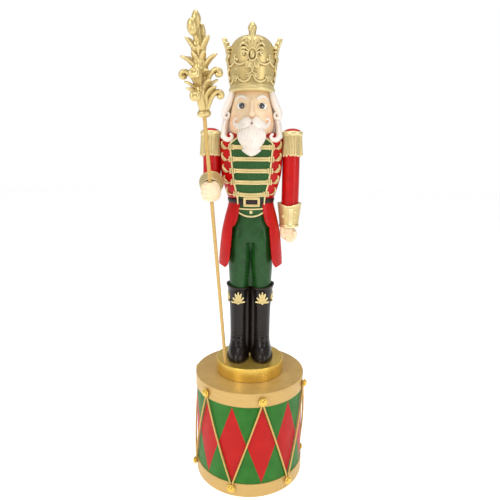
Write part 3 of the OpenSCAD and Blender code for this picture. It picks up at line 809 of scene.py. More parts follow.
# Height of each bar above the waist, its half length and how far its middle sags
BARS = [(12.4, 15.2, 1.2), (24.6, 18.2, 0.4), (36.1, 19.2, 0.1), (47.9, 20.2, 0), (59.8, 20.4, 0)]
BAR_HALF = 2.3
bars = []
tassels = []
for h, half, sag in BARS:
    rows = [(x * half, h - sag * (1 - x * x), VEST_OUT + 0.5, BAR_HALF, 1.5) for x in np.linspace(-1, 1, 9)]
    bars.append(on_chest(rows, 4, 0.4, 16))
    thin = h < 20
    for s in (-1, 1):
        for dx, tall in ((-1.9, 2.7), (0.2, 2.5), (2.2, 2.8)):
            end = [(s * (half + dx), h + t * tall, VEST_OUT + 1.0, 0.85, 1.5) for t in (-1, 0, 1)]
            bars.append(on_chest(end, 4))
        root = (half + 2.4, h - 0.2)
        horn = [(0, 0, 0.8), (2.4, -0.7, 0.6), (4.6, -0.4, 1.1 if thin else 1.7),
                (6.9, 1.3, 1.0 if thin else 2.2), (7.9, 4.2, 0.8 if thin else 1.3), (7.2, 7.0, 0.35)]
        rows = [(s * (root[0] + x), root[1] + z, 0.5, w, 1.3) for x, z, w in horn]
        tassels.append(on_chest(rows, 5))
piece("frog_bars", bars, GOLD_TRIM, voxel=0.35, rounds=2)
piece("frog_tassels", tassels, GOLD_TRIM, voxel=0.35, rounds=2)

BELT_FOOT = 0.8
BELT_TOP = 7.5
rings = []
for h, out in ((BELT_FOOT, -0.5), (BELT_FOOT, 0.5), (BELT_FOOT + 0.5, 1.0), (4.2, 1.1),
               (BELT_TOP - 0.5, 1.0), (BELT_TOP, 0.5), (BELT_TOP, -0.5)):
    rings.append(oval(0, 0, WAIST + h, chest_half(h) + out, chest_deep(h) + out + 0.9, 96))
piece("belt", [skin_rings(rings)], LEATHER, sharp=60)


def buckle_frame(half_x, half_h, thick, out):
    middle = (0.6, 4.1)
    corners = [(-half_x, -half_h), (half_x, -half_h), (half_x, half_h), (-half_x, half_h)]
    shapes = []
    for a, b in zip(corners, corners[1:] + corners[:1]):
        rows = []
        for t in np.linspace(0, 1, 5):
            x = middle[0] + a[0] + (b[0] - a[0]) * t
            h = middle[1] + a[1] + (b[1] - a[1]) * t
            rows.append((x, h, out, thick, 1.1))
        shapes.append(on_chest(rows, 3))
        shapes.append(blob(chest_front(middle[0] + a[0], middle[1] + a[1], out), thick, 16))
    return shapes


piece("belt_buckle", buckle_frame(7.4, 3.7, 1.4, 2.4), GOLD_TRIM, voxel=0.3, rounds=1)


def hip_front(x, h, out):
    """The same for the hips' surface, below the belt."""
    rx = float(np.interp(h, (-16, 0), (23.4, 22.4))) + out
    ry = float(np.interp(h, (-16, 0), (16.4, 16.0))) + out
    return [x, oval_front(x, rx, ry), WAIST + h]


HEM_HALF = 13.6
HEM_TOP = 2.0


def hem_foot(x):
    """The hem's curved lower edge, deepest in the middle."""
    return -11.8 + 4.6 * (x / HEM_HALF) ** 2


def hem_grid(out):
    return grid(lambda x, t: hip_front(x, HEM_TOP + (hem_foot(x) - HEM_TOP) * t, out),
                np.linspace(-HEM_HALF, HEM_HALF, 31), np.linspace(0, 1, 14))


piece("hem_panel", [slab(hem_grid(1.3), hem_grid(-0.8))], FELT, sharp=50)


def on_hips(rows):
    fine = spline(rows, 4)
    path = [hip_front(x, h, out) for x, h, out, _ in fine]
    return sweep(path, (0, -1, 0), fine[:, 3], fine[:, 3], 12)


xs = np.linspace(-HEM_HALF, HEM_HALF, 13)
trims = [on_hips([(x, -3.0 - 0.4 * (1 - (x / HEM_HALF) ** 2), 1.6, 0.95) for x in xs]),
         on_hips([(x, hem_foot(x) + 0.5, 1.6, 0.95) for x in xs])]
piece("hem_trim", trims, GOLD_TRIM)
piece("hem_button", [blob(hip_front(0, -6.6, 1.6), (1.9, 1.3, 1.9), 20)], GOLD_TRIM)

TAIL_TOP = 3.0
TAIL_FOOT = -66.5
# The tails' front edge: (height over the waist, distance from the middle)
tail_edge = [(1.5, 12.1), (-9, 13.9), (-16, 15.4), (-21.2, 18.6), (-22.6, 20.9), (-26, 20.8), (-42, 22.2),
             (-57, 23.8), (-63, 25.6), (TAIL_FOOT, 28.2)]
tail_half = curve([(4, 24.6), (0, 24.8), (-14, 28.4), (-30, 31.6), (-50, 33.6), (-68, 34.6)])
tail_deep = curve([(4, 18.4), (0, 18.8), (-14, 21.6), (-30, 24.4), (-50, 26.8), (-68, 28.4)])


def tail_point(u, v, inward):
    """u runs from the front edge to the slit behind, v from the waist to the hem."""
    hem = TAIL_FOOT + 2.2 * (1 - math.exp(-6 * u)) + 1.5 * u
    h = TAIL_TOP + (hem - TAIL_TOP) * v
    edge_h, edge_x = zip(*tail_edge[::-1])
    start = math.asin(min(np.interp(h, edge_h, edge_x) / tail_half(h), 0.98))
    stop = math.pi - 0.03 - 0.05 * v
    a = start + (stop - start) * u
    fold = 0.9 * v * math.sin(5.2 * a + 0.8) * min(1, 4 * u)
    rx, ry = tail_half(h) - inward + fold, tail_deep(h) - inward + fold
    return [rx * math.sin(a), -ry * math.cos(a), WAIST + h]


def tail_grid(inward):
    return grid(lambda u, v: tail_point(u, v, inward), np.linspace(0, 1, 64) ** 1.15, np.linspace(0, 1, 70))


tail = slab(tail_grid(0), tail_grid(2.2))
piece("coat_tails", both([tail]), RED, voxel=0.55)

# ---- Arms ----


def arm_shapes(points):
    fine = spline(points, 8)
    return [tube(fine[:, :3], fine[:, 3], 48), blob(points[0][:3], points[0][3], 32)]


left_sleeve = [
    (ARM_X - 4, 1, SHOULDER - 9, 7.2), (ARM_X - 0.5, 0, SHOULDER - 13, 9),
    (ARM_X + 0.2, 0, SHOULDER - 26, SLEEVE_R), (ARM_X + 0.2, 0, WRIST + 40, 9.3),
    (ARM_X, 0, WRIST + 20, 9.2), (ARM_X - 0.4, 0, WRIST + 6, 8.4)]
piece("left_arm", arm_shapes(left_sleeve), RED, voxel=0.6, rounds=4)

FIST = np.array((low("right_hand") + high("right_hand")) / 2)
ELBOW = np.array([-ARM_X, 0.0, WAIST + 30])
FOREARM = unit(FIST - ELBOW)
FOREARM_LEN = float(np.linalg.norm(FIST - ELBOW))
right_sleeve = [(-ARM_X + 4, 1, SHOULDER - 9, 7.2), (-ARM_X + 0.5, 0, SHOULDER - 13, 9),
                (-ARM_X, 0.4, SHOULDER - 24, SLEEVE_R), (*(ELBOW + [0, 1.4, 6]), 9.4),
                (*(ELBOW + [0, -1.5, -1.5]), 9.4)]
right_sleeve += [(*(ELBOW + FOREARM * d), r) for d, r in ((9, 8.8), (18, 8.4), (FOREARM_LEN - 24, 8.0))]
piece("right_arm", arm_shapes(right_sleeve), RED, voxel=0.6, rounds=4)

# The gauntlet cuff: (radius, distance from its hand end)
CUFF = [(8.6, 4), (9.6, 0.4), (10.2, 0), (10.6, 0.6), (10.7, 2.6), (10.3, 3.2), (10.4, 4), (10.9, 9),
        (11.6, 15), (12.3, 20), (12.9, 23.4), (13.1, 24.6), (12.7, 25), (11.6, 24), (9.0, 21)]


def cuff_wobble(a, z):
    """Faint upright streaks, but none on the bead at the hand."""
    streak = 0.12 * noise.noise(Vector((27 * math.sin(a), 27 * math.cos(a), z * 0.05)))
    return streak if z > 3.4 else 0.0


def cuff_shape():
    """The cuff upright, hand end down; its wide end is slanted, lowest towards the front."""
    verts, faces = lathe(CUFF, 120, cuff_wobble)
    share = np.clip((verts[:, 2] - 15) / 10, 0, 1)
    turn = np.arctan2(verts[:, 0], -verts[:, 1])
    verts[:, 2] += share * (1.6 - 3.0 * np.exp(-((turn + 0.15) / 0.7) ** 2))
    a = 0.06
    placket = [(r * math.sin(a), -r * math.cos(a), h)
               for r, h in zip(np.linspace(10.3, 12.5, 6), np.linspace(3, 21, 6))]
    return [(verts, faces), sweep(placket, (0, -1, 0), 2.1, 0.7, 12)]


cuff_at = (ARM_X - 0.4, 0, WRIST + 1.5)
left_cuff = [moved(s, cuff_at) for s in cuff_shape()]
piece("left_cuff", left_cuff, GOLD_LEAF, sharp=50)

buttons = []
for angle, h in ((-38, 12.5), (26, 17.6), (25, 9.6)):
    r = float(np.interp(h, (3, 24), (10.3, 13)))
    a = math.radians(angle)
    buttons.append(blob((cuff_at[0] + r * math.sin(a), -r * math.cos(a), cuff_at[2] + h), 1.5, 20))
piece("cuff_buttons", buttons, GOLD_TRIM)


def along_axis(shape, axis, at):
    """Turns an upright shape so that its +Z lies along axis, and moves it to at."""
    spin = np.array(Vector((0, 0, 1)).rotation_difference(Vector(axis)).to_matrix())
    return shape[0] @ spin.T + np.array(at), shape[1]


right_cuff = [along_axis((s[0] * [0.97, 0.97, 0.78], s[1]), -FOREARM, FIST - FOREARM * 8.2)
              for s in cuff_shape()]
piece("right_cuff", right_cuff, GOLD_LEAF, sharp=50)

hand = [blob((ARM_X - 1, -0.6, WRIST - 3), (7.6, 7.2, 9.5), 32),
        blob((ARM_X - 1, -1.6, WRIST - 7.6), (7.2, 7.4, 5.8), 32)]
for k in range(4):
    y = -7.4 + 3.7 * k
    curl = spline([(ARM_X + 5.6, y, WRIST - 2), (ARM_X + 5.6, y, WRIST - 8), (ARM_X + 1, y, WRIST - 12.6),
                   (ARM_X - 4, y, WRIST - 9.5)], 5)
    hand.append(tube(curl, 2.3, 14))
thumb = spline([(ARM_X - 7.2, -3.6, WRIST + 2), (ARM_X - 8.2, -5.2, WRIST - 3),
                (ARM_X - 7, -6.6, WRIST - 8.6)], 6)
hand.append(tube(thumb, np.linspace(2.8, 2.2, len(thumb)), 16))
hand.append(blob(thumb[-1], 2.2, 16))
piece("left_hand", hand, SKIN, voxel=0.45, rounds=14)

# ---- Staff: its axis through the fist ----
STAFF_FOOT = np.array([-27.0, -21.0, SOLE])
LEAN = unit(np.array([-0.063, -0.155, 1.0]))
STAFF_SIDE = unit(np.cross([0.0, 1.0, 0.0], LEAN))
STAFF_FRONT = -np.cross(LEAN, STAFF_SIDE)


def fist_shape():
    """A ball with a hole along the staff."""
    profile = [(3.0, 8.6), (4.2, 9.4), (6.4, 8.8), (8.6, 6.0), (9.6, 2), (9.6, -2), (8.7, -6.0),
               (6.4, -8.6), (4.2, -9.4), (3.0, -8.8), (2.7, -4), (2.7, 4)]
    rings = [oval(0, 0, z, r, r, 40) for r, z in profile]
    return along_axis(skin_rings(rings, closed=True), LEAN, FIST)


def fist_creases(p, normal):
    """Four finger grooves round the fist, level with the rod's axis."""
    local = np.array(p) - FIST
    h = float(local @ LEAN)
    side = float(local @ STAFF_SIDE)
    front = float(local @ STAFF_FRONT)
    facing = max(0.0, min(1.0, (-side + 0.2 * front) / 6))
    return -0.45 * facing * bell(math.sin(h * math.pi / 4.2) / 0.35) * np.array(normal)


piece("right_hand", [fist_shape()], SKIN, voxel=0.4, shift=fist_creases)
dress("staff_rod", GOLD_DRUM)

# ---- Epaulettes ----

cap = lathe([(9.2, -2)] + [(9.4 * math.cos(t), 4.0 * math.sin(t)) for t in np.radians(np.arange(0, 90, 10))]
            + [(0.01, 4.0)], 64)
piece("shoulder_caps", both([moved(cap, (ARM_X + 1, 0, SHOULDER + 1.0))]), RED)
board = [(0.01, -2.6), (9.6, -2.6), (10.5, -2.2), (10.9, -1.2), (10.9, 0.6), (10.5, 1.6), (9.9, 1.9),
         (9.5, 1.5), (0.01, 1.5)]
FRINGE_LONG = 20.8


def fringe_wobble(a, z):
    """Strands that wander a little on their way down."""
    return 0.62 * abs(math.sin(21 * a + 0.04 * z * math.sin(7 * a))) - 0.35


def fringe_shape():
    levels = np.linspace(0, 1, 26)
    profile = [(9.0, 0)] + [(10.1 + 1.4 * t**1.3, -FRINGE_LONG * t) for t in levels]
    profile += [(10.4, -FRINGE_LONG - 0.6), (9.2, -FRINGE_LONG)]
    verts, faces = lathe(profile, 240, fringe_wobble)
    turn = np.arctan2(verts[:, 0], -verts[:, 1])
    share = np.clip(-verts[:, 2] / FRINGE_LONG, 0, 1) ** 4
    ragged = np.array([noise.noise(Vector((5 * math.sin(a), 5 * math.cos(a), 0.5))) for a in turn])
    verts[:, 2] += share * (1.8 * ragged + 0.7 * np.abs(np.sin(21 * turn)) - 0.7)
    return verts, faces


for side, sign in (("left", 1), ("right", -1)):
    place = (sign * (ARM_X + 1), 0, SHOULDER)
    piece(f"{side}_epaulette", [moved(lathe(board, 72), place)], GOLD_LEAF)
    piece(f"{side}_fringe", [moved(fringe_shape(), (place[0], 0, SHOULDER - 2.0))], GOLD_LEAF)

# ---- Head ----
HEAD = [(0.01, 0), (9, 0.2), (15.5, 1.4), (20, 4.2), (22.4, 8.4), (23.2, 13), (23.2, 19), (22.7, 25),
        (21.4, 31), (20.0, 37), (18.9, 42.5), (18.2, 48), (16, 52), (10, 56), (0.01, 57)]
head_r = curve([(h, r) for r, h in HEAD[3:12]])


def face(x, h, out):
    """A point on the face, out mm proud of it."""
    r = float(head_r(h)) + out
    return [x, -math.sqrt(max(r * r - x * x, 1.0)), CHIN + h]


def on_face(rows, steps=5, sides=14):
    fine = spline(rows, steps)
    path = [face(x, h, out) for x, h, out, _, _ in fine]
    ups = unit(np.array([[p[0], p[1], 0] for p in path]))
    return sweep(path, ups, fine[:, 3], fine[:, 4], sides)


EYE_X = 10.3
IRIS_R = 2.75
EYE_H = 31.0
EYE_Y = face(EYE_X, EYE_H, 0)[1]
nose_path = spline([
    (0, -18.4, CHIN + 37), (0, -21.6, CHIN + 32.5), (0, -24.6, CHIN + 27), (0, -26.6, CHIN + 22.8),
    (0, -26.0, CHIN + 20.8), (0, -22.5, CHIN + 19.6)], 6)
nose_half = spline([(1.6,), (1.7,), (2.1,), (2.9,), (2.6,), (2.2,)], 6)[:, 0]
nose = sweep(nose_path, (0, -1, 0.4), nose_half, 2.2, 20)


def face_hollows(p, normal):
    """Eye sockets, full cheeks and the nose's shoulders."""
    if p.y > -8:
        return (0, 0, 0)
    h = p.z - CHIN
    x = abs(p.x)
    socket = 1.3 * bell((x - EYE_X) / 5.2, (h - EYE_H) / 4.0)
    cheek = 0.9 * bell((x - 14.5) / 6, (h - 18.5) / 6)
    brow = 0.6 * bell((x - 10) / 7, (h - 38) / 2.6)
    return np.array(normal) * (cheek + brow - socket)


piece("head", [moved(lathe(spline(HEAD, 5), 128), (0, 0, CHIN)), nose], SKIN, ("head", "nose"), voxel=0.5,
      shift=face_hollows)

eyeball = [blob((EYE_X, EYE_Y + 1.2, CHIN + EYE_H), (4.5, 2.3, 3.15), 40)]
iris = [(s * (EYE_X - 0.1), EYE_Y - 1.1, CHIN + EYE_H + 0.2) for s in (-1, 1)]
piece("eyes", both(eyeball), ("eye", eye_paint(iris, IRIS_R)))


def round_eye(rows):
    """A bar on the face along rows that start with (x, height) from the eye's middle."""
    return on_face([(EYE_X + x, EYE_H + h, *rest) for x, h, *rest in rows])


lid = [round_eye([(-4.8, -0.4, -0.5, 0.4, 0.5), (-3.2, 2.3, 0.0, 0.6, 0.7), (0, 3.5, 0.1, 0.7, 0.8),
                  (3.3, 2.5, 0.0, 0.6, 0.7), (4.9, -0.2, -0.5, 0.4, 0.5)]),
       round_eye([(-4.8, -0.4, -0.6, 0.3, 0.5), (-2.4, -2.8, -0.3, 0.5, 0.6), (0.4, -3.3, -0.3, 0.5, 0.6),
                  (3.2, -2.5, -0.3, 0.5, 0.6), (4.9, -0.2, -0.6, 0.3, 0.5)])]
piece("eyelids", both(lid), SKIN, ())
lash = round_eye([
    (-4.3, 0.6, 0.15, 0.15, 0.2), (-2.8, 2.3, 0.35, 0.3, 0.3), (0, 3.05, 0.45, 0.35, 0.35),
    (2.9, 2.3, 0.35, 0.3, 0.3), (4.4, 0.5, 0.15, 0.15, 0.2)])
piece("lashes", both([lash]), ("eye", plain_paint("lash brown", srgb(66, 48, 40), 0.5)), ())
brow = on_face([
    (5.6, 37.6, 0.1, 1.2, 0.9), (7.4, 39.6, 0.4, 1.7, 1.3), (10.4, 40.9, 0.5, 1.6, 1.4),
    (13.8, 40.0, 0.4, 1.2, 1.1), (16.8, 37.4, 0.1, 0.6, 0.6)])
piece("brows", both([brow]), HAIR, voxel=0.35, rounds=2)

whisker = [
    (0.6, 17.2, 0.6, 2.6, 2.2), (3.2, 16.4, 1.6, 4.4, 3.0), (6.6, 14.4, 1.9, 5.0, 3.2),
    (10.4, 12.2, 1.4, 4.2, 2.8), (14.0, 11.6, 1.0, 2.9, 2.2), (17.0, 13.4, 0.9, 1.8, 1.6),
    (18.0, 16.6, 0.9, 1.3, 1.3), (16.8, 19.2, 0.8, 1.05, 1.1), (14.9, 18.9, 0.8, 0.9, 0.9),
    (14.6, 17.3, 0.7, 0.7, 0.7)]


def strand_grooves(p, normal):
    """Fine strands combed outward along the moustache."""
    h = p.z - CHIN
    line = h - 17.5 + 0.36 * abs(p.x)
    depth = 0.16 * math.sin(2.4 * line + 0.25 * abs(p.x))
    return np.array(normal) * depth


piece("moustache", both([on_face(whisker, 6, 20)]), HAIR, voxel=0.38, shift=strand_grooves)
# A small dark blob of painted shade in the gap between the moustache halves.
piece("mouth_shadow", [blob(face(0, 14.2, 2.6), (0.9, 0.9, 0.8), 16)],
      ("skin", plain_paint("mouth shade", srgb(150, 92, 70), 0.5)), ())

beard_half = curve([
    (13.5, 3.0), (10.5, 9.0), (6.5, 13.2), (1.0, 14.6), (-4, 12.8), (-8.3, 9.6), (-10.6, 8.9), (-12.4, 9.9),
    (-14.2, 8.0), (-16.4, 5.2), (-18.2, 1.6)])
beard_front = curve([
    (13.5, 24.6), (8, 26.8), (1.0, 28.4), (-6, 28.6), (-11, 28.2), (-15, 28.4), (-18.2, 27.0)])
BEARD_TOP = 13.5
BEARD_TIP = -18.2


def beard_point(u, v, front):
    """u runs across the beard, v down it; strands follow lines of equal u in shallow grooves."""
    h = BEARD_TOP + (BEARD_TIP - BEARD_TOP) * v
    x = float(beard_half(h)) * u
    deep = float(beard_front(h))
    if not front:
        return [x, -deep + 7.5 + 3 * v, CHIN + h]
    fade = min(1, 6 * (1 - abs(u)) + 0.2)
    groove = 0.55 * abs(math.sin(math.pi * 4.5 * u + 1.1 * math.sin(4.2 * v))) * fade
    edge = 6.4 * (1 - math.sqrt(max(1 - u * u * 0.97, 0)))
    return [x, -deep + edge - groove, CHIN + h]


def beard_grid(front):
    across = np.sin(np.linspace(-1, 1, 73) * math.pi / 2)
    return grid(lambda u, v: beard_point(u, v, front), across, np.linspace(0, 1, 60))


piece("beard", [slab(beard_grid(True), beard_grid(False))], HAIR, voxel=0.35, rounds=2)


def lock(rows):
    """A lock of hair from rows of (x, y, height over the chin, half width, half thickness)."""
    fine = spline(rows, 6)
    path = fine[:, :3] + [0, 0, CHIN]
    return sweep(path, (0, -1, 0), fine[:, 3], fine[:, 4], 18)


upper_lock = lock([
    (19.6, -5, 46, 3.2, 6), (22.4, -5.5, 39, 3.7, 6.5), (25.4, -6, 31.5, 3.8, 6.5),
    (28.2, -6.4, 25.6, 3.2, 6), (28.4, -7, 21.4, 2.3, 5), (25.6, -7.4, 20.0, 1.9, 4.4),
    (23.4, -7.6, 22.4, 1.6, 4), (23.8, -7.8, 25.2, 1.3, 3.6), (25.2, -7.9, 25.8, 1.0, 3)])
lower_lock = lock([
    (25.8, -2, 22, 3.2, 6), (27.8, -2.4, 14, 3.3, 6), (28.4, -5, 6, 3.2, 6), (27.8, -9, 0.8, 3.0, 5.6),
    (25.0, -13, -1.4, 2.6, 4), (21.6, -15, -1.2, 2.2, 3), (19.6, -15.5, 1.2, 1.8, 2.6),
    (20.8, -15.2, 3.8, 1.4, 2.4), (22.4, -15, 4.2, 1.0, 2)])
tip_lock = lock([(28.0, -1, 6, 2.6, 5), (28.8, -2, -0.6, 2.0, 4), (28.6, -3, -5.4, 0.6, 2)])


def back_wobble(a, z):
    return 0.55 * abs(math.sin(13 * a + 0.22 * z)) + 0.25 * math.sin(5 * a)


def back_hair():
    profile = [(15, 46), (21.5, 44.5), (23.6, 38), (25.6, 28), (26.4, 18), (26.6, 8), (25.8, 0),
               (24.4, -5.5), (21, -8), (15, -6)]
    verts, faces = lathe(spline(profile, 5), 160, back_wobble)
    verts[:, 1] = np.where(verts[:, 1] < 0, verts[:, 1] * 0.12 - 1, verts[:, 1])
    return moved((verts, faces), (0, 0, CHIN))


piece("hair", both([upper_lock, lower_lock, tip_lock]) + [back_hair()], HAIR, voxel=0.5)

# ---- Crown ----
CROWN_R = high("crown_rim").x
# (how far inside the rim's radius, height over the rim)
DOME_STEPS = [(2.9, 4), (2.1, 10), (1.3, 20), (0.5, 30), (0.4, 37), (1.9, 44), (6.0, 50.4), (12.6, 54.6)]
DOME = [(0.01, 4)] + [(CROWN_R - r, h) for r, h in DOME_STEPS] + [(0.01, 56.6)]
dome_r = curve([(h, r) for r, h in DOME[1:8]])
fan_r = curve([(h, CROWN_R + r) for h, r in ((33, 0.6), (38, 1.4), (44.3, 2.8), (49, 4.4), (54, 6))])


def on_dome(rows, steps=5, groove=0.0, sides=12):
    """A bar on the crown along rows of (x, height over the rim, out, half width, half height)."""
    fine = spline(rows, steps)
    path, ups = [], []
    for x, h, out, _, _ in fine:
        r = float(dome_r(min(h, 52)))
        a = math.asin(max(-0.95, min(0.95, x / (r + 1))))
        ups.append([math.sin(a), -math.cos(a), 0])
        path.append([(r + out) * math.sin(a), -(r + out) * math.cos(a), RIM + h])
    return sweep(path, ups, fine[:, 3], fine[:, 4], sides, groove)


def dome_point(x, h, out):
    """A point on the crown, out mm proud of it."""
    r = float(dome_r(h))
    a = math.asin(x / (r + 1))
    return ((r + out) * math.sin(a), -(r + out) * math.cos(a), RIM + h)


def volute(x, h, r, start, turns, thick, out, lead):
    """A scroll: it leads in along rows of (x, height), then winds into its eye."""
    rows = [(*p, out, thick, thick * 1.1) for p in lead]
    for k in range(int(abs(turns) * 8) + 1):
        a = math.radians(start) + math.copysign(k * math.pi / 4, turns)
        q = r * (1 - 0.8 * k / (abs(turns) * 8))
        thin = thick * (1 - 0.3 * k / (abs(turns) * 8))
        rows.append((x + q * math.cos(a), h + q * math.sin(a), out + 0.5 * k / 8, thin, thick * 1.1))
    return on_dome(rows, 4)


def leaf(foot, tip, width, out_foot, out_tip, thick):
    """A grooved pointed leaf from foot to tip, both (x, height), lifting off the crown."""
    rows = []
    for t, w in ((0, 0.45), (0.25, 0.85), (0.5, 1.0), (0.78, 0.7), (1.0, 0.12)):
        x = foot[0] + (tip[0] - foot[0]) * t
        h = foot[1] + (tip[1] - foot[1]) * t
        rows.append((x, h, out_foot + (out_tip - out_foot) * t**1.5, width * w, thick))
    return on_dome(rows, 5, 0.4, 14)


FAN_DEEP = 2.8


def on_fan(rows, groove=0.45):
    """A leaf of the standing fan along rows of (x, height over the rim, half width)."""
    fine = spline(rows, 5)
    path, ups = [], []
    for x, h, _ in fine:
        r = float(fan_r(h)) - FAN_DEEP * 0.4
        a = math.asin(x / r)
        ups.append([math.sin(a), -math.cos(a), 0])
        path.append([r * math.sin(a), -r * math.cos(a), RIM + h])
    return sweep(path, ups, fine[:, 2], FAN_DEEP, 16, groove)


def crest_shapes():
    """The ornament on one side of the crown: half of it mirrored, and what stands in the middle."""
    half = [
        on_fan([(1.2, 39, 0.8), (2.4, 43, 1.4), (4.6, 46.2, 1.6), (7.4, 47.4, 1.5), (9.4, 46, 0.9)]),
        on_fan([(2.4, 38, 0.8), (4.8, 41.4, 1.4), (7.8, 43.4, 1.5), (10.2, 42.6, 1.2), (10.8, 41, 0.7)]),
        on_fan([(3.4, 36.6, 0.8), (6, 38.8, 1.3), (8.6, 39.4, 1.3), (10.2, 38.2, 0.7)]),
        volute(8.6, 34.4, 2.4, 150, -1.25, 0.85, 1.6, [(4.4, 31.4), (4.8, 34.6)]),
        on_dome([(4.4, 30.4, 1.2, 0.9, 1.2), (7.2, 26, 1.2, 1.05, 1.3), (12.2, 24.7, 1.2, 1.05, 1.3),
                 (16.2, 26.8, 1.2, 1.0, 1.3), (17.9, 30.4, 1.2, 0.9, 1.2), (17.8, 34.4, 1.0, 0.35, 0.7)]),
        blob(dome_point(15.0, 29.6, 1.0), (1.2, 1.2, 1.6), 14),
        on_dome([(1.8, 28, 0.8, 0.8, 1.2), (3.2, 26, 1.1, 2.2, 1.5), (4.3, 24, 1.3, 3.0, 1.6),
                 (4.9, 22, 1.2, 2.4, 1.5), (5.2, 20.8, 0.8, 0.5, 0.8)], 5, 0.25, 16),
        volute(3.6, 14.4, 1.9, 120, -1.2, 0.75, 0.9, [(0.5, 17.4)]),
        on_dome([(0.4, 15.6, 0.8, 0.8, 1.0), (2.6, 11.6, 0.9, 1.0, 1.1), (5.6, 9.2, 0.9, 1.1, 1.2),
                 (9.2, 8.9, 0.9, 1.0, 1.1), (12.4, 10.6, 0.9, 0.9, 1.0), (14.2, 12.4, 0.8, 0.5, 0.8)]),
    ]
    for tip in ((12.6, 14.2), (14.2, 15.6), (16.4, 15.4), (17.8, 13.4), (16.6, 9.4)):
        half.append(leaf((15.2, 12.2), tip, 0.8, 0.7, 1.5, 0.9))
    ring = [(4.1 * math.cos(t), 33 + 5.4 * math.sin(t), 1.4, 0.85, 1.4)
            for t in np.linspace(0, 2 * np.pi, 17)]
    middle = [
        on_fan([(0, 40, 1.0), (0, 45, 1.3), (0, 49.6, 2.1), (0, 52.6, 1.3), (0, 54, 0.3)], 0.3),
        on_dome(ring, 3),
        blob(dome_point(0, 33.2, 1.6), (2.5, 2.0, 3.7), 24),
        blob(dome_point(0, 39.4, 1.6), (2.6, 2.2, 1.8), 20),
        leaf((0, 26.5), (0, 16.9), 1.9, 1.0, 1.9, 1.2),
    ]
    return both(half) + middle


one_side = crest_shapes()
crests = [turned(s, 90 * k) for k in range(4) for s in one_side]
band = [(CROWN_R - r, h) for r, h in ((6, 7.2), (2.2, 7.2), (1.6, 7.8), (2.2, 8.4), (6, 8.4))]
crests.append(moved(lathe(band, 128), (0, 0, RIM)))
dome = moved(lathe(spline(DOME, 5), 128), (0, 0, RIM))
piece("crown", [dome] + crests, GOLD_LEAF, ("crown_shell", "crown_crests"), voxel=0.48, rounds=2)

BEAD_R = 2.9
rim = [(CROWN_R - BEAD_R + BEAD_R * math.cos(t), 2.8 + 2.8 * math.sin(t))
       for t in np.radians(np.arange(-90, 91, 12))]
rim = [(CROWN_R - 8, -0.2)] + rim + [(CROWN_R - 3.2, 6.4), (CROWN_R - 8, 6.4)]
piece("crown_rim", [moved(lathe(rim, 128), (0, 0, RIM))], GOLD_LEAF)

bud = [(0.01, -4.6), (5.6, -4.4), (4.6, -2.4), (3.6, -0.6), (3.7, 1.4), (4.4, 3.8), (4.5, 5.8), (3.7, 7.8),
       (2.2, 9.8), (0.9, 11.1), (0.01, 11.5)]
piece("crown_finial", [moved(lathe(spline(bud, 5), 48), (0, 0, CROWN_TOP))], GOLD_LEAF, voxel=0.35,
      rounds=4)

# ---- Staff finial ----


def staff_point(s, side, front):
    return STAFF_FOOT + LEAN * s + STAFF_SIDE * side + STAFF_FRONT * front


def frond(start, turn, rows, groove):
    """A leaf that grows from the staff's axis at start, in the direction turn from the front."""
    a = math.radians(turn)
    outward = STAFF_SIDE * math.sin(a) + STAFF_FRONT * math.cos(a)
    sideways = STAFF_SIDE * math.cos(a) - STAFF_FRONT * math.sin(a)
    fine = spline(rows, 5)
    base = staff_point(start, 0, 0)
    path = base + np.outer(fine[:, 0], outward) + np.outer(fine[:, 1], LEAN)
    along = unit(np.gradient(path, axis=0))
    return sweep(path, np.cross(along, sideways), fine[:, 2], fine[:, 3], 14, groove)


# Rows of (outward, up, half width, half thickness) of the finial's scrolls and leaves
SCROLL = [
    (1.5, -2, 3.0, 2.6), (4.5, 3.4, 3.4, 2.5), (7, 8.4, 3.8, 2.4), (10.4, 12.4, 4.3, 2.4),
    (14, 14.4, 4.8, 2.5), (17.0, 12.9, 5.2, 2.7), (17.2, 10.2, 5.0, 2.9), (15.2, 9.6, 4.6, 2.8),
    (14.6, 11.2, 4.0, 2.2)]
POINTED = [(1.5, -1, 3.0, 2.2), (5, 3.4, 4.2, 2.0), (9, 7.6, 4.6, 1.8), (13, 10.4, 3.6, 1.5),
           (15.8, 11.4, 1.4, 0.9)]
UPRIGHT = [(1.5, -1, 2.6, 2.0), (4.2, 4.2, 3.8, 1.9), (6.8, 8.6, 4.1, 1.7), (9.2, 12, 3.2, 1.4),
           (11, 14, 1.3, 0.9)]


def sized(rows, reach, tall, wide=1.0):
    return [(x * reach, z * tall, w * wide, t * (0.5 + wide / 2)) for x, z, w, t in rows]


def core_wobble(a, z):
    return 0.35 * math.cos(8 * a) if 269 < z < 336 else 0.0


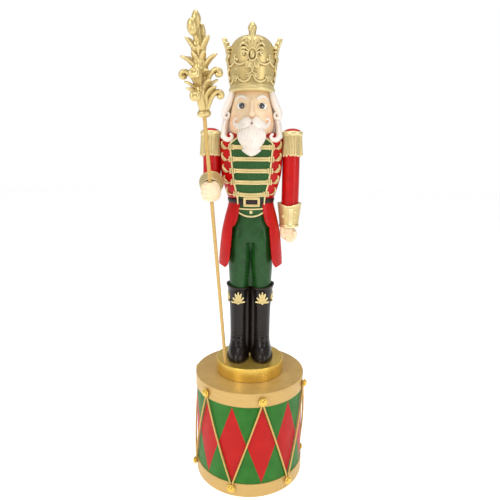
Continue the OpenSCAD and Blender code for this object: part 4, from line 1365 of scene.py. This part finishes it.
def staff_finial():
    stem = [(0.01, 262.5), (3.6, 262.6), (6.0, 264.2), (6.4, 266), (6.0, 267.8), (4.4, 269), (4.6, 272),
            (5.6, 278), (6.6, 283), (5.8, 288), (4.9, 293), (5.8, 299), (6.8, 304), (5.8, 308),
            (6.2, 310.4), (5.0, 312.6), (5.4, 316.6), (6.6, 321), (4.8, 322.6), (3.7, 328), (3.2, 334),
            (2.8, 338.4), (3.9, 341.6), (4.1, 344.6), (3.0, 347.8), (1.2, 350.4), (0.01, 350.8)]
    shapes = [along_axis(lathe(spline(stem, 3), 48, core_wobble), LEAN, STAFF_FOOT)]
    for start, turns, rows, groove in (
            (270, (-17, 88, 180), SCROLL, 0.3),
            (279, (-60, 62, 125, -125), sized(POINTED, 0.94, 0.85), 0.4),
            (284, (-86, 36, 99, -151), sized(POINTED, 0.96, 0.9, 0.86), 0.4),
            (289, (-14, 84, 180, -96), sized(SCROLL, 1.0, 0.95), 0.3),
            (303, (-78, 72, 130, -130), sized(POINTED, 1.06, 1.05), 0.4),
            (296, (-40, 36, 150, -150), sized(POINTED, 0.75, 0.6, 0.8), 0.4),
            (306, (-40, 36, 150, -150), sized(UPRIGHT, 0.8, 0.85, 0.8), 0.4),
            (316, (-74, 66, 120, -125), UPRIGHT, 0.4)):
        shapes += [frond(start, turn, rows, groove) for turn in turns]
    for turn, reach, tall, side_r, front_r in ((-27, 7.2, 337.0, 4.6, 4.2), (130, 5.4, 333.6, 2.9, 2.9)):
        a = math.radians(turn)
        bud = blob((0, 0, 0), (side_r, front_r, 7.0), 28)
        shapes.append(along_axis(bud, LEAN, staff_point(tall, reach * math.sin(a), reach * math.cos(a))))
        stub = [(1.5, 0, 2.0, 1.8), (3.4, 4, 2.2, 2.0), (5.6, 9, 2.0, 2.0)]
        shapes.append(frond(tall - 12, turn, stub, 0))
    return shapes


DIMPLES = [tuple(staff_point(*d)) for d in ((282.6, -5.2, 19.0), (302.0, -4.4, 19.0), (335.0, -4.4, 11.5))]


def bud_dimple(p, normal):
    """The dark dimple in the scrolls' and the bud's faces."""
    depth = sum(1.1 * bell(math.dist(p, d) / 2.2) for d in DIMPLES)
    return -depth * normal


piece("staff_finial", staff_finial(), GOLD_STAFF, body="staff", voxel=0.42, rounds=4, shift=bud_dimple)

# ---- Floor, light and camera ----
FLOOR_GLOW = 0.58


def flat_floor():
    """A pale sheet that glows a little, so that it meets the room without a line."""
    mesh = bpy.data.meshes.new("floor")
    mesh.from_pydata([(-6, -6, 0), (6, -6, 0), (6, 6, 0), (-6, 6, 0)], [], [(0, 1, 2, 3)])
    obj = bpy.data.objects.new("floor", mesh)
    bpy.context.scene.collection.objects.link(obj)
    p = Paint("floor white")
    p.shader.inputs["Emission Color"].default_value = (1, 1, 1, 1)
    p.shader.inputs["Emission Strength"].default_value = FLOOR_GLOW
    shade = p.mix(p.clouds(30), srgb(242, 242, 242), srgb(246, 246, 246))
    mesh.materials.append(p.finish(shade, 0.8))


def panel(name, place, target, size, power):
    light = bpy.data.lights.new(name, "AREA")
    light.shape = "RECTANGLE"
    light.size, light.size_y = size
    light.energy = power
    obj = bpy.data.objects.new(name, light)
    bpy.context.scene.collection.objects.link(obj)
    obj.location = place
    obj.rotation_mode = "QUATERNION"
    obj.rotation_quaternion = (Vector(target) - Vector(place)).to_track_quat("-Z", "Y")


flat_floor()
panel("key", (-0.9, -1.1, 1.0), (0, 0, 0.25), (0.5, 0.9), 9)
panel("fill", (1.1, -0.9, 0.6), (0, 0, 0.25), (0.4, 0.9), 4)
panel("top", (0, -0.1, 1.5), (0, 0, 0.3), (0.8, 0.8), 7)

# A white room that the camera sees at full strength, and that lights the object less
AMBIENT = 0.45
world = bpy.data.worlds.new("white room")
bpy.context.scene.world = world
world.use_nodes = True
room = world.node_tree
backdrop = room.nodes["Background"]
ambient = room.nodes.new("ShaderNodeBackground")
ambient.inputs["Strength"].default_value = AMBIENT
rays = room.nodes.new("ShaderNodeLightPath")
either = room.nodes.new("ShaderNodeMixShader")
room.links.new(rays.outputs["Is Camera Ray"], either.inputs[0])
room.links.new(ambient.outputs[0], either.inputs[1])
room.links.new(backdrop.outputs[0], either.inputs[2])
room.links.new(either.outputs[0], room.nodes["World Output"].inputs[0])
for white in (backdrop, ambient):
    white.inputs["Color"].default_value = (1, 1, 1, 1)
bpy.context.scene.view_settings.view_transform = "Standard"

CAMERA_DOWN = 11
CAMERA_ROLL = -0.45
camera = bpy.data.cameras.new("camera")
camera.sensor_width = 36
camera.lens = 32.18
eye = bpy.data.objects.new("camera", camera)
bpy.context.scene.collection.objects.link(eye)
eye.location = (-0.0014, -0.4855, 0.355)
eye.rotation_euler = (math.radians(90 - CAMERA_DOWN), math.radians(CAMERA_ROLL), 0)
bpy.context.scene.camera = eye
